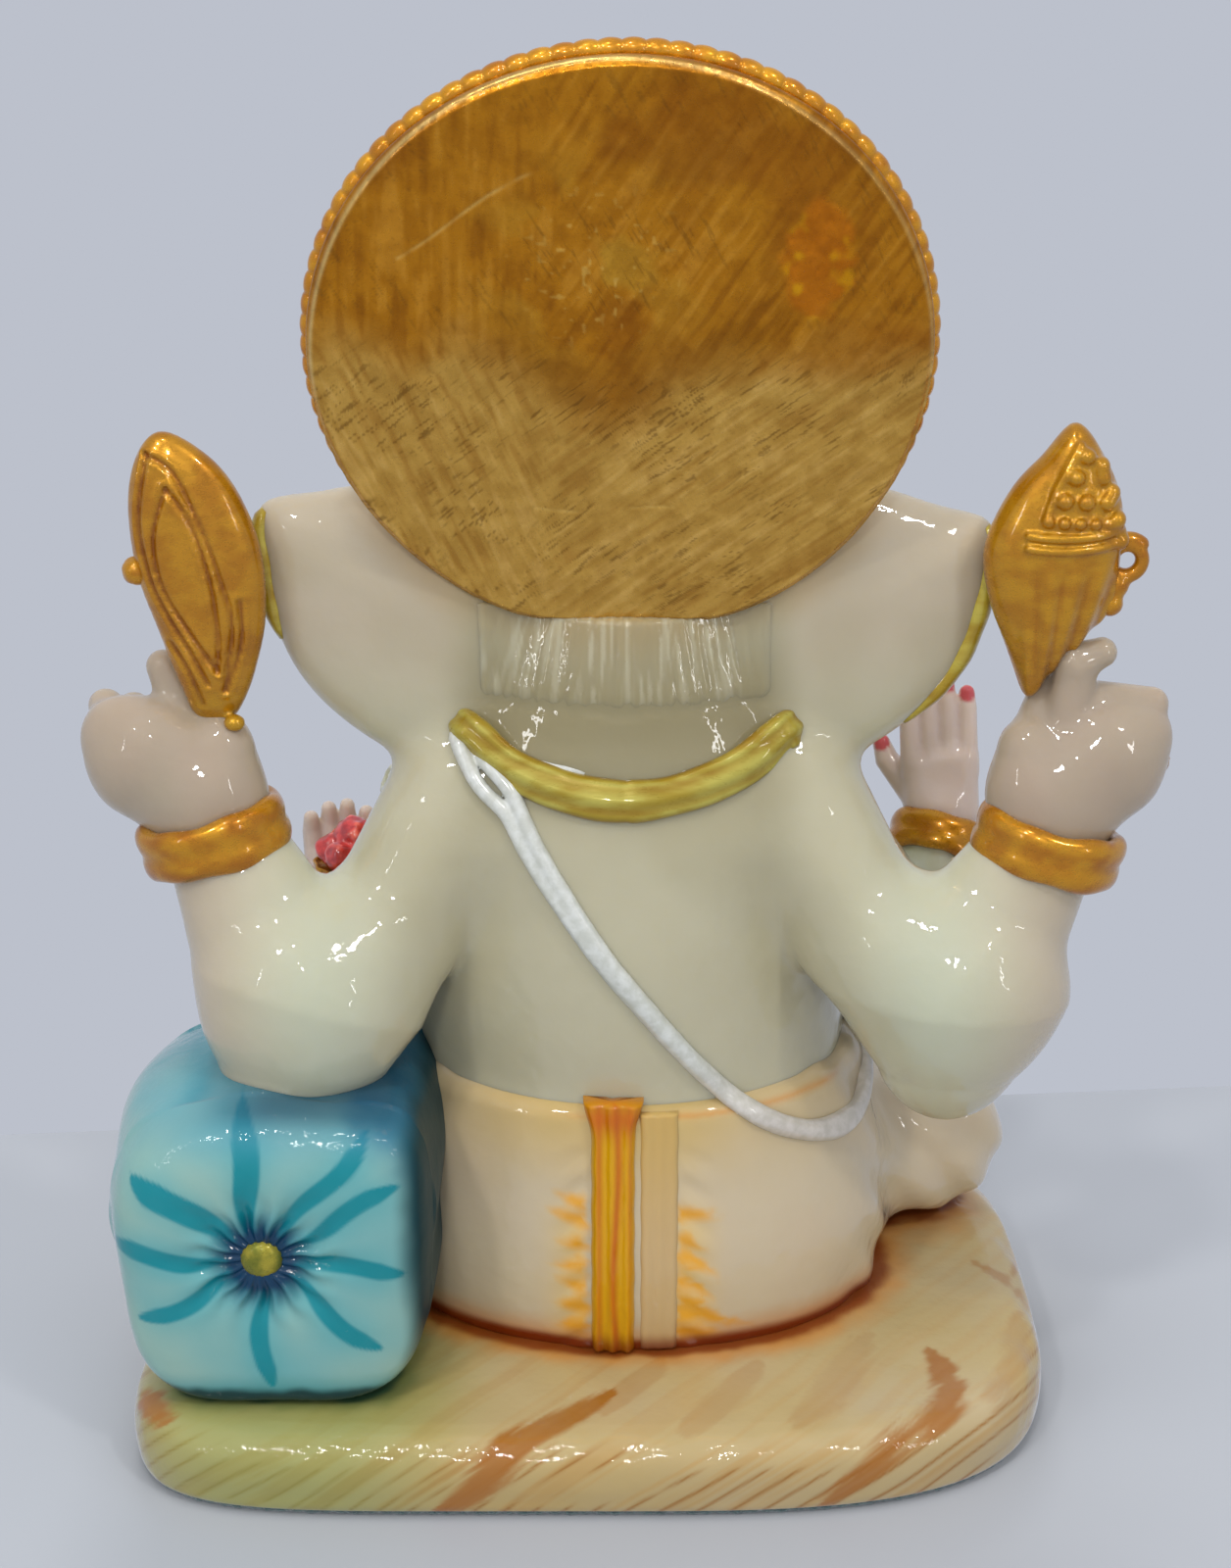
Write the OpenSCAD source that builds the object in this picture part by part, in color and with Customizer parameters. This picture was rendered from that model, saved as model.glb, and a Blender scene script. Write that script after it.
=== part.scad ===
// Seated four-armed elephant-headed deity figurine in cast resin.
// Front of the figure faces -Y, its own left is +X, +Z is up, and z = 0 is the underside of the felt.

/* [Base] */
// Width of the base at its widest
base_w = 138; // [134:1:150]
// Depth of the base
base_d = 92; // [90:1:100]
// Height of the seat that the figure rests on
seat_z = 12; // [10:0.5:13]
// Thickness of the felt under the base
felt_t = 1; // [0.6:0.1:2]

/* [Bolster] */
// Width and height of the round cushion
bolster_w = 46; // [40:0.5:46]
// Length of the cushion
bolster_len = 45; // [40:1:46]
// Radius of the button at each end
button_r = 3.1; // [2:0.1:4.5]

/* [Crown] */
// Radius of the plate behind the crown
plate_r = 40.6; // [36:0.2:42]
// Thickness of the plate
plate_t = 6; // [4:0.5:7]
// How far the plate leans back, in degrees
plate_lean = 16; // [12:1:18]
// Number of beads round the plate
bead_count = 88; // [60:2:96]

/* [Jewellery] */
// Radius of a wrist ring's own thickness
bangle_t = 1.9; // [1.4:0.1:2.4]
// Half width of the white thread
thread_w = 1.9; // [1.2:0.1:2.4]
// Half height of the necklace band
necklace_w = 2.5; // [1.6:0.1:3]

/* [Hidden] */

skin_colour = "ivory";
gold = "goldenrod";
mid_x = -1.5;               // middle plane of the figure, a little to its right on the base
waist_z = 52;               // top edge of the dhoti
neck_z = 104;               // where the head meets the shoulders
far = 300;                  // larger than anything here
round_sides = 180;          // facets of a large circle in a preview
up = [0, 0, 1];
back = [0, 1, 0];

// ---------- curves and surfaces ----------

// A value part way, t from 0 to 1, between b and c on the smooth curve through a, b, c, d.
function between(a, b, c, d, t) =
    0.5 * (2*b + (c - a)*t + (2*a - 5*b + 4*c - d)*t*t + (3*b - a - 3*c + d)*t*t*t);

// Stations joined by a smooth curve, with a number of steps from each to the next.
function smooth_run(s, steps) = let (last = len(s) - 1) [
    for (i = [0 : last - 1], j = [0 : steps - 1])
        between(s[max(i - 1, 0)], s[i], s[i + 1], s[min(i + 2, last)], j / steps),
    s[last]
];

// The same for a run that closes on itself.
function smooth_loop(s, steps) = let (n = len(s)) [
    for (i = [0 : n - 1], j = [0 : steps - 1])
        between(s[(i + n - 1) % n], s[i], s[(i + 1) % n], s[(i + 2) % n], j / steps)
];

function point(s) = [s[0], s[1], s[2]];
function unit(v) = v / norm(v);

// A ring of points with half widths a along u and b along v.
function ring(centre, u, v, a, b, sides) =
    [for (k = [0 : sides - 1]) centre + a*cos(360*k/sides)*u + b*sin(360*k/sides)*v];

// Closed surface through a row of rings; a looped row joins its last ring to its first.
module skin(rings, looped = false) {
    n = len(rings[0]);
    m = len(rings);
    spans = looped ? m : m - 1;
    sides = [
        for (j = [0 : spans - 1], k = [0 : n - 1])
            let (a = j*n + k, b = j*n + (k + 1) % n, c = ((j + 1) % m)*n + (k + 1) % n, d = ((j + 1) % m)*n + k)
                each [[a, c, b], [a, d, c]]
    ];
    caps = looped ? [] : [[for (k = [0 : n - 1]) k], [for (k = [n - 1 : -1 : 0]) (m - 1)*n + k]];
    polyhedron(points = [for (r = rings) each r], faces = concat(sides, caps));
}

// Limb along stations [x, y, z, half width, half depth].
module loft(stations, sides = 14, steps = 3, facing = back) {
    s = smooth_run(stations, steps);
    last = len(s) - 1;
    skin([
        for (i = [0 : last])
            let (t = unit(point(s[min(i + 1, last)]) - point(s[max(i - 1, 0)])), u = unit(cross(facing, t)))
                ring(point(s[i]), u, cross(t, u), s[i][3], s[i][4], sides)
    ]);
}

// Straight limb with round ends, from p to q; flat squeezes it along the facing direction.
module bone(p, q, rp, rq, sides = 14, flat = 1, facing = back) {
    t = unit(q - p);
    u = unit(cross(facing, t));
    v = cross(t, u);
    cap = [14, 48, 90];
    last = len(cap) - 1;
    skin(concat(
        [for (a = cap) ring(p - t*rp*cos(a), u, v, rp*sin(a), rp*flat*sin(a), sides)],
        [for (i = [last : -1 : 0]) ring(q + t*rq*cos(cap[i]), u, v, rq*sin(cap[i]), rq*flat*sin(cap[i]), sides)]
    ));
}

// Upright body through level ellipses [x, y, z, half width, half depth].
module stack(run, sides = 28) {
    skin([for (s = run) ring(point(s), [1, 0, 0], back, s[3], s[4], sides)]);
}

// Band lying on a surface: outward points away from it at every point.
module band(points, outward, half_out, half_across, sides = 7, looped = false) {
    n = len(points);
    skin([
        for (i = [0 : n - 1])
            let (
                before = looped ? points[(i + n - 1) % n] : points[max(i - 1, 0)],
                after = looped ? points[(i + 1) % n] : points[min(i + 1, n - 1)],
                t = unit(after - before),
                v = unit(cross(t, outward[i]))
            )
                ring(points[i], cross(v, t), v, half_out, half_across, sides)
    ], looped);
}

// Lens-shaped plate: an outline in x and z that swells along y towards its centre.
module pillow(outline, y, swell_back, swell_front, centre) {
    rise = [0, 30, 60, 82];
    function level(a, swell) = [for (p = outline) [
        centre[0] + (p[0] - centre[0])*cos(a), y + swell*sin(a), centre[1] + (p[1] - centre[1])*cos(a)]];
    skin(concat(
        [for (i = [3 : -1 : 1]) level(rise[i], -swell_front)],
        [for (a = rise) level(a, swell_back)]
    ));
}

module at_figure() { translate([mid_x, 0, 0]) children(); }
module mirrored(side) { scale([side, 1, 1]) children(); }

// ---------- base and bolster ----------

base_mid = [3, 0.5];        // middle of the base, which reaches further out under the bolster

// Cushion-shaped outline with squarer corners at the figure's left; inset shrinks it.
function base_outline(inset, steps = 48) = [
    for (k = [0 : steps - 1])
        let (a = 360*k/steps, c = cos(a), s = sin(a), p = c > 0 ? 0.34 : s > 0 ? 0.6 : 0.44)
            base_mid + [(base_w/2 - inset)*sign(c)*pow(abs(c), p), (base_d/2 - inset)*sign(s)*pow(abs(s), p)]
];

module felt_pad() {
    color("darkslategray") linear_extrude(felt_t) polygon(base_outline(1.8));
}

module base() {
    profile = [[felt_t, 1], [felt_t + 1, 0.3], [seat_z*0.4, 0], [seat_z*0.7, 0.4], [seat_z - 1, 1.8], [seat_z, 4.4]];
    color("wheat")
        skin([for (p = profile) [for (q = base_outline(p[1])) [q[0], q[1], p[0]]]]);
}

bolster_x = 48.8;
bolster_z = seat_z + bolster_w/2;
bolster_back_y = 37.5;

// Cushion with squarish rounded section and domed ends; end rings are [share of length, share of width].
module bolster_form() {
    ends = [[0.035, 0.06], [0.008, 0.3], [0, 0.55], [0.015, 0.76], [0.07, 0.91], [0.18, 0.985]];
    last = len(ends) - 1;
    run = concat(ends, [[0.5, 1]], [for (i = [last : -1 : 0]) [1 - ends[i][0], ends[i][1]]]);
    squareness = 0.64;
    function bulge(v) = sign(v)*pow(abs(v), squareness);
    skin([
        for (e = run) [
            for (k = [0 : 27])
                let (a = -360*k/28, r = bolster_w/2*e[1])
                    [bolster_x + r*bulge(cos(a)), bolster_back_y - e[0]*bolster_len, bolster_z + r*bulge(sin(a))]
        ]
    ]);
}

button_at = [bolster_x + 1, bolster_z + 1.5];      // in x and z
button_sink = 3;                                    // depth of the pucker under each button

// A shape set on both ends of the cushion: its z axis points out of the end, and z = 0 is the pucker's floor.
module on_bolster_ends() {
    translate([button_at[0], bolster_back_y - button_sink, button_at[1]]) rotate([-90, 0, 0]) children();
    translate([button_at[0], bolster_back_y - bolster_len + button_sink, button_at[1]]) rotate([90, 0, 0]) children();
}

module bolster() {
    color("mediumturquoise") difference() {
        bolster_form();
        at_figure() {
            hips_form();
            thigh_form();
            rear_elbow_form();
        }
        on_bolster_ends() cylinder(h = far/10, r = button_r);
    }
}

module bolster_buttons() {
    color("darkkhaki") on_bolster_ends() rotate_extrude()
        polygon([[0, 0], [button_r, 0], [button_r, 1.6], [button_r*0.8, 2.3], [button_r*0.4, 2.7], [0, 2.8]]);
}

module above_seat() { translate([-far/2, -far/2, seat_z]) cube([far, far, far]); }

// ---------- body ----------

hips_run = smooth_run([
    [-1.5, -5, 12, 38, 26], [-1.5, -4, 18, 39.2, 27.4], [-1.5, -4, 28, 39.5, 27.8],
    [-1, -5.5, 40, 38, 28], [-1, -7.5, 49, 35.8, 28.8], [-1, -8, 52, 34.8, 28.8]
], 2);

torso_run = smooth_run([
    [-0.5, -9, 52, 33.6, 28.2], [0, -9.5, 62, 33.4, 29.8], [0, -7, 73, 31, 28], [0, -2.5, 83, 28.5, 23.2],
    [0, 1, 91, 28.5, 18.8], [0, 2, 97, 27, 15.8], [0, 2, 101, 24.6, 14], [0, 1.5, 104, 23, 13]
], 2);

// Centre and half widths [x, y, width, depth] of a run of level ellipses at a height.
function at_height(run, z) = [for (k = [0, 1, 3, 4]) lookup(z, [for (s = run) [s[2], s[k]]])];

// Point on that run at a height and a bearing: 0 is the figure's left, 90 its back.
function on_body(run, z, bearing, out = 0) = let (e = at_height(run, z))
    [e[0] + (e[2] + out)*cos(bearing), e[1] + (e[3] + out)*sin(bearing), z];

function away(run, z, bearing) = let (e = at_height(run, z))
    unit([cos(bearing)/e[2], sin(bearing)/e[3], 0]);

module hips_form() { stack(hips_run); }
module torso_form() { stack(torso_run); }

module hips() { color("mistyrose") at_figure() hips_form(); }
module torso() { color(skin_colour) at_figure() torso_form(); }

// Upright strip of cloth down the back of the dhoti, x measured from the figure's middle.
module back_strip(x, half_width, height, proud) {
    levels = [for (i = [0 : 8]) seat_z + 1 + (height - seat_z - 1)*i/8];
    function bearing(z) = let (e = at_height(hips_run, z)) acos((x - e[0])/e[2]);
    at_figure() difference() {
        band([for (z = levels) on_body(hips_run, z, bearing(z))],
             [for (z = levels) away(hips_run, z, bearing(z))], proud, half_width);
        hips_form();
        torso_form();
    }
}

module pleat_strip() { color("orange") back_strip(1.9, 3.4, waist_z + 0.8, 2); }
module pleat_band() { color("navajowhite") back_strip(-4.9, 3, waist_z - 1, 1.3); }

// ---------- legs and feet ----------

// The figure's left leg, folded flat on the base; the right one mirrors it.
module thigh_form() { bone([14, -8, 28], [49.5, -22.5, 25.5], 15.5, 13, 18); }
module shin_form() { bone([47, -25.5, 22.5], [15, -35.5, 20], 10.3, 7.4, 16); }

module leg(side) {
    color("mistyrose") at_figure() intersection() {
        difference() {
            mirrored(side) {
                thigh_form();
                shin_form();
            }
            hips_form();
            torso_form();
        }
        above_seat();
    }
}

module leg_left() { leg(1); }
module leg_right() { leg(-1); }

// Foot from heel to ball with its sole to the front, and five toes that get smaller upwards.
module foot_form(heel, ball, rh, rb) {
    t = unit(ball - heel);
    across = sign(t[0])*unit(cross(t, back));
    pitch = 0.46*rb;
    bone(heel, ball, rh, rb, 12, 0.8);
    for (i = [0 : 4]) {
        r = 1.4 - 0.13*i;
        root = ball + t*(rb - 1.6 - 0.35*i) + across*pitch*(i - 1.9) + [0, -0.6, 0];
        bone(root, root + t*(2.6 - 0.25*i), r, r*0.85, 8);
    }
}

module right_foot_form() { foot_form([-6, -35.5, 22.5], [9, -36.5, 27.5], 5.4, 4.6); }
module left_foot_form() { foot_form([5.5, -37.2, 17.6], [-12, -40.2, 17.8], 4.9, 4.2); }

module foot_right() {
    color(skin_colour) at_figure() difference() {
        right_foot_form();
        both_shins();
        hips_form();
        torso_form();
    }
}

module foot_left() {
    color(skin_colour) at_figure() difference() {
        left_foot_form();
        both_shins();
        hips_form();
        right_foot_form();
    }
}

module both_shins() {
    shin_form();
    mirrored(-1) shin_form();
}

// Two hoops side by side round a limb at p, which runs along d; squeeze flattens them across y.
module bangle_form(p, d, r, squeeze = 1, spread = 1.6, t = bangle_t) {
    along = unit(d);
    u = unit(cross(back, along));
    v = cross(along, u);
    steps = 20;
    for (side = [-1, 1])
        band([for (k = [0 : steps - 1]) p + side*spread*along + r*cos(360*k/steps)*u + squeeze*r*sin(360*k/steps)*v],
             [for (k = [0 : steps - 1]) cos(360*k/steps)*u + sin(360*k/steps)*v], t, t, 7, true);
}

module anklet(side) {
    color(gold) at_figure() difference() {
        mirrored(side) bangle_form([17.5, -34.8, 20.2], [-32, -10.2, -2.5], 7.2, 1, 0.9, 1.1);
        mirrored(side) shin_form();
        left_foot_form();
        right_foot_form();
        hips_form();
        mirrored(side) thigh_form();
    }
}

module anklet_left() { anklet(1); }
module anklet_right() { anklet(-1); }

// ---------- thread, necklace and pendant ----------

// Heights and bearings: down the back, round the right hip and up over the belly to the shoulder.
thread_stations = [
    [103, 24], [97, 47], [86, 66], [70, 92], [56, 112], [48.5, 128], [45, 147], [46.5, 166],
    [53, 190], [63, 230], [72, 270], [84, 308], [95, 338]
];

function run_at(z) = z > waist_z ? torso_run : hips_run;
function bearing_of(run, p) = let (e = at_height(run, p[2])) atan2((p[1] - e[1])/e[3], (p[0] - e[0])/e[2]);

module thread_form() {
    path = smooth_loop([for (s = thread_stations) on_body(run_at(s[0]), s[0], s[1])], 4);
    band([for (p = path) on_body(run_at(p[2]), p[2], bearing_of(run_at(p[2]), p), 0.3)],
         [for (p = path) away(run_at(p[2]), p[2], bearing_of(run_at(p[2]), p))], 1.4, thread_w, 7, true);
}

module sacred_thread() {
    color("white") at_figure() difference() {
        thread_form();
        torso_form();
        hips_form();
        rear_arm_form();
        mirrored(-1) rear_arm_form(-1);
        front_arm_left_form();
        front_arm_right_form();
        necklace_form();
    }
}

// The band dips at the back, rides over the shoulders and hangs on the chest.
module necklace_form() {
    half = [[0, 18.2, 98.6], [9, 16.4, 100.2], [17.5, 11.5, 103.4], [22, 4, 106], [21, -6, 103.5],
            [16, -15, 97], [8.5, -22.5, 91]];
    path = smooth_loop(concat(half, [[0, -26, 88.5]], [for (i = [6 : -1 : 1]) [-half[i][0], half[i][1], half[i][2]]]), 3);
    band(path, [for (p = path) unit([p[0]*0.8, p[1] - 1, 6])], 1.6, necklace_w, 7, true);
}

module necklace() {
    color("gold") at_figure() difference() {
        necklace_form();
        torso_form();
        head_form();
        trunk_form();
    }
}

module pendant_form() {
    translate([0, -29.2, 83.5]) rotate([72, 0, 0]) scale([1, 1.25, 0.45]) sphere(3.6);
}

module pendant() {
    color(gold) at_figure() difference() {
        pendant_form();
        torso_form();
        necklace_form();
        trunk_form();
    }
}

// ---------- rear arms, hands and bangles ----------

// The right wrist is held a little further out and lower than the left one.
function rear_wrist(side) = side > 0 ? [57.4, 13, 90.8] : [59, 13, 89.4];

module rear_elbow_form() { bone([35.5, 12, 78], [46.5, 15, 66.8], 11, 15.2, 18, 0.8); }

// Built as a left arm; side only picks the wrist.
module rear_arm_form(side = 1) {
    bone([24, 5, 96.5], [35.5, 12, 78], 9.6, 11, 16);
    rear_elbow_form();
    bone([47.3, 15, 67.2], rear_wrist(side), 14.6, 8.2, 18, 0.8);
}

module rear_arm(side) {
    color(skin_colour) at_figure() mirrored(side) difference() {
        rear_arm_form(side);
        torso_form();
        head_form();
        hips_form();
    }
}

module rear_arm_left() { rear_arm(1); }
module rear_arm_right() { rear_arm(-1); }

// Closed fist seen from behind as one rounded block, with the knuckles turned outwards.
module fist_form() {
    bone([59.5, 12.5, 97.5], [67, 11.5, 102.6], 8.6, 8.8, 12, 0.75);
    bone([68.6, 11, 100.6], [71.4, 10.5, 105.8], 6.4, 5.4, 10, 0.8);
    bone([57.4, 11.5, 98], [56.6, 11.5, 104.4], 5.4, 4.2, 10, 0.9);
    for (i = [0 : 3])
        bone([74.2 - 3.9*i, 5, 108.3 - 0.6*i], [72.6 - 3.9*i, 3.6, 101 + 0.3*i], 2.2, 2.1, 8);
}

module rear_hand_left_form() {
    fist_form();
    bone([62, 9, 108], [65, 8, 115], 3.4, 2.4, 10);
}

module rear_hand_right_form() {
    mirrored(-1) fist_form();
    bone([-62, 11, 108], [-62.5, 11, 116], 3.6, 3, 10);
    bone([-62.5, 11, 116.5], [-66, 11, 118], 3, 2.3, 10);
    bone([-66, 10, 110], [-73.8, 9.5, 110], 3.5, 2.4, 10);
}

module rear_hand_left() {
    color(skin_colour) at_figure() difference() {
        rear_hand_left_form();
        rear_arm_form();
    }
}

module rear_hand_right() {
    color(skin_colour) at_figure() difference() {
        rear_hand_right_form();
        mirrored(-1) rear_arm_form(-1);
    }
}

module rear_bangle(side) {
    color(gold) at_figure() mirrored(side) difference() {
        bangle_form(rear_wrist(side) + [1, -0.2, 0.9], [5.2, -0.6, 20], 9.2, 0.86, 1.7);
        rear_arm_form(side);
        fist_form();
    }
}

module rear_bangle_left() { rear_bangle(1); }
module rear_bangle_right() { rear_bangle(-1); }

module palm_bead() {
    color(gold) at_figure() difference() {
        translate([-74.9, 9.5, 101.5]) sphere(2.1);
        rear_hand_right_form();
    }
}

// ---------- front arms, hands and sweets ----------

module front_arm_left_form() {
    bone([24, -3, 93], [43, -15, 61], 8.6, 8.2, 14);
    bone([43, -15, 61], [45, -25.5, 61.6], 8.2, 6.2, 14, 1, up);
}

module front_arm_right_form() {
    bone([-24, -3, 93], [-45, -14, 62], 8.6, 8.2, 14);
    bone([-45, -14, 62], [-49.8, -23.5, 75.5], 8.2, 6.2, 14);
}

module front_arm_left() {
    color(skin_colour) at_figure() difference() {
        front_arm_left_form();
        torso_form();
        rear_arm_form();
        hips_form();
        thigh_form();
    }
}

module front_arm_right() {
    color(skin_colour) at_figure() difference() {
        front_arm_right_form();
        torso_form();
        mirrored(-1) rear_arm_form(-1);
        hips_form();
        mirrored(-1) thigh_form();
    }
}

// Finger in three bones from its knuckle, bending by curl degrees at each joint towards -Y.
module finger(x, z, length, r, curl, splay = 0) {
    function reach(a) = [sin(splay)*cos(a), -sin(a), cos(splay)*cos(a)];
    p0 = [x, 0, z];
    p1 = p0 + 0.42*length*reach(curl);
    p2 = p1 + 0.32*length*reach(2*curl);
    p3 = p2 + 0.26*length*reach(3*curl);
    loft([concat(p0, [r, r]), concat(p1, [r, r]), concat(p2, [r*0.94, r*0.94]), concat(p3, [r*0.8, r*0.8]),
          concat(p3 + 0.5*r*reach(3*curl), [r*0.35, r*0.35])], 8, 2);
}

// Open hand: wrist at the origin, fingers up +Z, palm towards -Y, thumb towards +X.
module hand_form(curl) {
    bone([0, 0, 1], [0, -0.4, 8.4], 5.4, 6.2, 14, 0.55);
    for (i = [0 : 3])
        finger(-4.5 + 3*i, 11.4 - 0.35*abs(i - 1.5), 11.2 - 1.2*abs(i - 1.6), 1.75, curl, 1.6*(i - 1.5));
    bone([4.4, -1.4, 4.5], [8, -2.6, 9.6], 2.3, 1.9, 10);
    bone([8, -2.6, 9.6], [8.8, -3.4, 12.6], 1.9, 1.4, 10);
}

module front_hand_right_form() { translate([-50.4, -25, 79.5]) rotate([6, -3, 0]) hand_form(4); }

module front_hand_left_form() {
    translate([44.8, -27.4, 62]) rotate([62, 0, 12]) mirror([0, 1, 0]) mirror([1, 0, 0]) hand_form(24);
}

module front_hand_right() {
    color(skin_colour) at_figure() difference() {
        front_hand_right_form();
        front_arm_right_form();
    }
}

module front_hand_left() {
    color(skin_colour) at_figure() difference() {
        front_hand_left_form();
        front_arm_left_form();
        sweet_room();
    }
}

module front_bangle_left() {
    color(gold) at_figure() difference() {
        bangle_form([44.8, -24.6, 61.5], [2, -10.5, 0.6], 6.8, 1, 1.3, 1.5);
        front_arm_left_form();
        front_hand_left_form();
    }
}

module front_bangle_right() {
    color(gold) at_figure() difference() {
        bangle_form([-49.9, -23.8, 76], [-4.8, -9.5, 13.5], 6.8, 1, 1.3, 1.5);
        front_arm_right_form();
        front_hand_right_form();
    }
}

dish_at = [44.2, -33.4, 65.6];
dish_h = 3.6;
dish_r = 7;
sweet_r = 1.95;

module sweet_dish_form() {
    translate(dish_at) rotate_extrude()
        polygon([[0, 0], [4, 0], [dish_r - 0.4, 2.4], [dish_r, dish_h], [0, dish_h]]);
}

// A ring of round sweets that just clear each other, and a larger one on top.
module sweets_form() {
    translate(dish_at + [0, 0, dish_h + sweet_r]) {
        for (i = [0 : 5]) rotate([0, 0, 60*i]) translate([4.1, 0, 0]) sphere(sweet_r);
        translate([0, 0, 2.7]) sphere(2.6);
    }
}

// The dish with all that is above it, so that the hand holds it from below.
module sweet_room() {
    hull() {
        sweet_dish_form();
        translate(dish_at + [0, 0, dish_h]) cylinder(h = 8, r = dish_r);
    }
}

module sweet_dish() { color(gold) at_figure() sweet_dish_form(); }
module sweets() { color("firebrick") at_figure() sweets_form(); }

// ---------- head ----------

crown_z = 144;              // the crown sits on the head here

head_run = smooth_run([
    [0, 1.5, 104, 23, 13.2], [0, -1, 110, 23.6, 16], [0, -4.5, 119, 23.8, 19], [0, -6.5, 129, 23.6, 21],
    [0, -6, 138, 22.8, 21], [0, -4.5, 144, 21, 19.6]
], 2);

module head_form() { stack(head_run); }
module brows() { for (side = [-1, 1]) mirrored(side) bone([8.5, -18.5, 135.2], [8.5, -18.5, 132], 8.4, 8.4, 12); }
module cheeks() { for (side = [-1, 1]) mirrored(side) bone([11, -18, 121], [11.5, -18, 119], 8.6, 8, 12); }

module head() {
    color(skin_colour) at_figure() difference() {
        union() {
            head_form();
            brows();
            cheeks();
        }
        plate_space();
        torso_form();
    }
}

// Combed hair low on the back of the head, down to the necklace.
module hair() {
    color("beige") at_figure() difference() {
        intersection() {
            stack([for (s = head_run) [s[0], s[1], s[2], s[3] + 1, s[4] + 1.2]]);
            translate([-far/2, 5, neck_z]) cube([far, far, 21]);
        }
        head_form();
        plate_space();
        ear_form();
        mirrored(-1) ear_form();
        necklace_form();
        rear_arm_form();
        mirrored(-1) rear_arm_form(-1);
    }
}

// Half of a big rounded ear, x and z measured from the figure's middle.
ear_edge = [for (s = smooth_loop([
    [17, 138, 0], [30, 140.2, 0], [42, 139.6, 0], [50.6, 138, 0], [51.4, 130, 0], [50, 121, 0],
    [46.8, 113, 0], [41.2, 106.4, 0], [33.4, 101, 0], [24, 98.6, 0], [16, 104, 0], [14, 120, 0]
], 2)) [s[0], s[1]]];

module ear_form() { pillow(ear_edge, 3, 7, 4, [27, 121]); }

module ear(side) {
    color(skin_colour) at_figure() mirrored(side) difference() {
        ear_form();
        head_form();
        plate_space();
        torso_form();
        rear_arm_form(side);
        necklace_form();
    }
}

module ear_left() { ear(1); }
module ear_right() { ear(-1); }

// Painted rim along part of an ear's edge, from one edge point to another.
module ear_trim(side, first, last) {
    path = [for (i = [first : last]) [ear_edge[i][0], 3.4, ear_edge[i][1]]];
    color("gold") at_figure() mirrored(side) difference() {
        band(path, [for (p = path) unit([p[0] - 27, 0, p[2] - 121])], 1.1, 2.6);
        ear_form();
        if (side > 0) emblem_leaf_form();
        if (side < 0) mirrored(-1) emblem_conch_form();
    }
}

module ear_trim_left() { ear_trim(1, 6, 12); }
module ear_trim_right() { ear_trim(-1, 6, 15); }

module trunk_form() {
    loft([[0, -21, 128, 10.5, 8], [0, -29, 119, 9.6, 8.2], [0.5, -34, 108, 8.2, 7.6], [3, -37, 97, 7.2, 7],
          [9, -38.5, 88, 6.4, 6.4], [18, -39, 81.5, 5.6, 5.6], [27, -38.5, 78.6, 4.9, 4.9],
          [33.5, -37.6, 79.6, 4.2, 4.2], [36.6, -37, 81, 3.4, 3.4]], 14, 2, [1, 0, 0]);
}

module trunk() {
    color(skin_colour) at_figure() difference() {
        trunk_form();
        head_form();
        torso_form();
    }
}

module tusk(side, reach) {
    start = [9.5, -26, 116.5];
    tip = start + reach*[0.35, -0.75, -0.5];
    color("white") at_figure() mirrored(side) difference() {
        loft([concat(start, [2.6, 2.6]), concat((start + tip)/2 + [0.6, 0, -0.7], [2.2, 2.2]), concat(tip, [1.1, 1.1])], 12, 4);
        head_form();
        cheeks();
        trunk_form();
        mirrored(-1) trunk_form();
    }
}

module tusk_left() { tusk(1, 14); }
module tusk_right() { tusk(-1, 8); }

module eyes() {
    color("black") at_figure() for (side = [-1, 1]) mirrored(side) difference() {
        translate([13.6, -24.8, 129]) rotate([0, 0, 32]) scale([1.25, 0.45, 0.75]) sphere(2.6);
        head_form();
    }
}

module forehead_mark() {
    color("crimson") at_figure() difference() {
        bone([0, -27.3, 137.2], [0, -27.3, 139.9], 1.8, 1.5, 12, 0.6);
        head_form();
        brows();
    }
}

// ---------- crown ----------

plate_centre = [0.7, 20.8, 158.9];      // on the back face, from the figure's middle
plate_chin = 38.6;                      // distance from the centre to the flat at the bottom

// Coordinates of the plate: z points out of its back face, y climbs it.
module on_plate() {
    translate(plate_centre) rotate([-90 - plate_lean, 0, 0]) mirror([0, 1, 0]) children();
}

module plate_form() {
    dish = 1.2;
    groove = 0.6;
    difference() {
        on_plate() rotate_extrude($fn = round_sides) polygon([
            [0, -plate_t], [plate_r - 1.5, -plate_t], [plate_r - groove, 0.4 - plate_t],
            [plate_r - groove, 3.2 - plate_t], [plate_r, 3.2 - plate_t], [plate_r, -0.8],
            [plate_r - 0.8, 0], [plate_r*0.7, -0.3], [plate_r*0.3, -dish], [0, -dish]]);
        below_chin();
    }
}

module crown_plate() { color(gold) at_figure() plate_form(); }

// Room for the plate and all that lies straight behind it, so that what meets the plate stops there.
module plate_space() {
    difference() {
        on_plate() translate([0, 0, -plate_t]) cylinder(h = 40, r = plate_r + 1.5, $fn = round_sides);
        below_chin();
    }
}

module below_chin() { on_plate() translate([-far/2, -plate_chin - far, -far/2]) cube(far); }

// Ring of beads round the plate, just in front of its back face.
module beads_form() {
    steps = 6;
    outline = [for (k = [0 : bead_count*steps - 1])
        let (a = 360*k/(bead_count*steps), r = plate_r - 0.1 + 1.2*abs(sin(180*k/steps))) [r*cos(a), r*sin(a)]];
    difference() {
        on_plate() translate([0, 0, 0.4 - plate_t]) linear_extrude(2.8) difference() {
            polygon(outline);
            circle(plate_r - 0.6, $fn = round_sides);
        }
        below_chin();
    }
}

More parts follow.
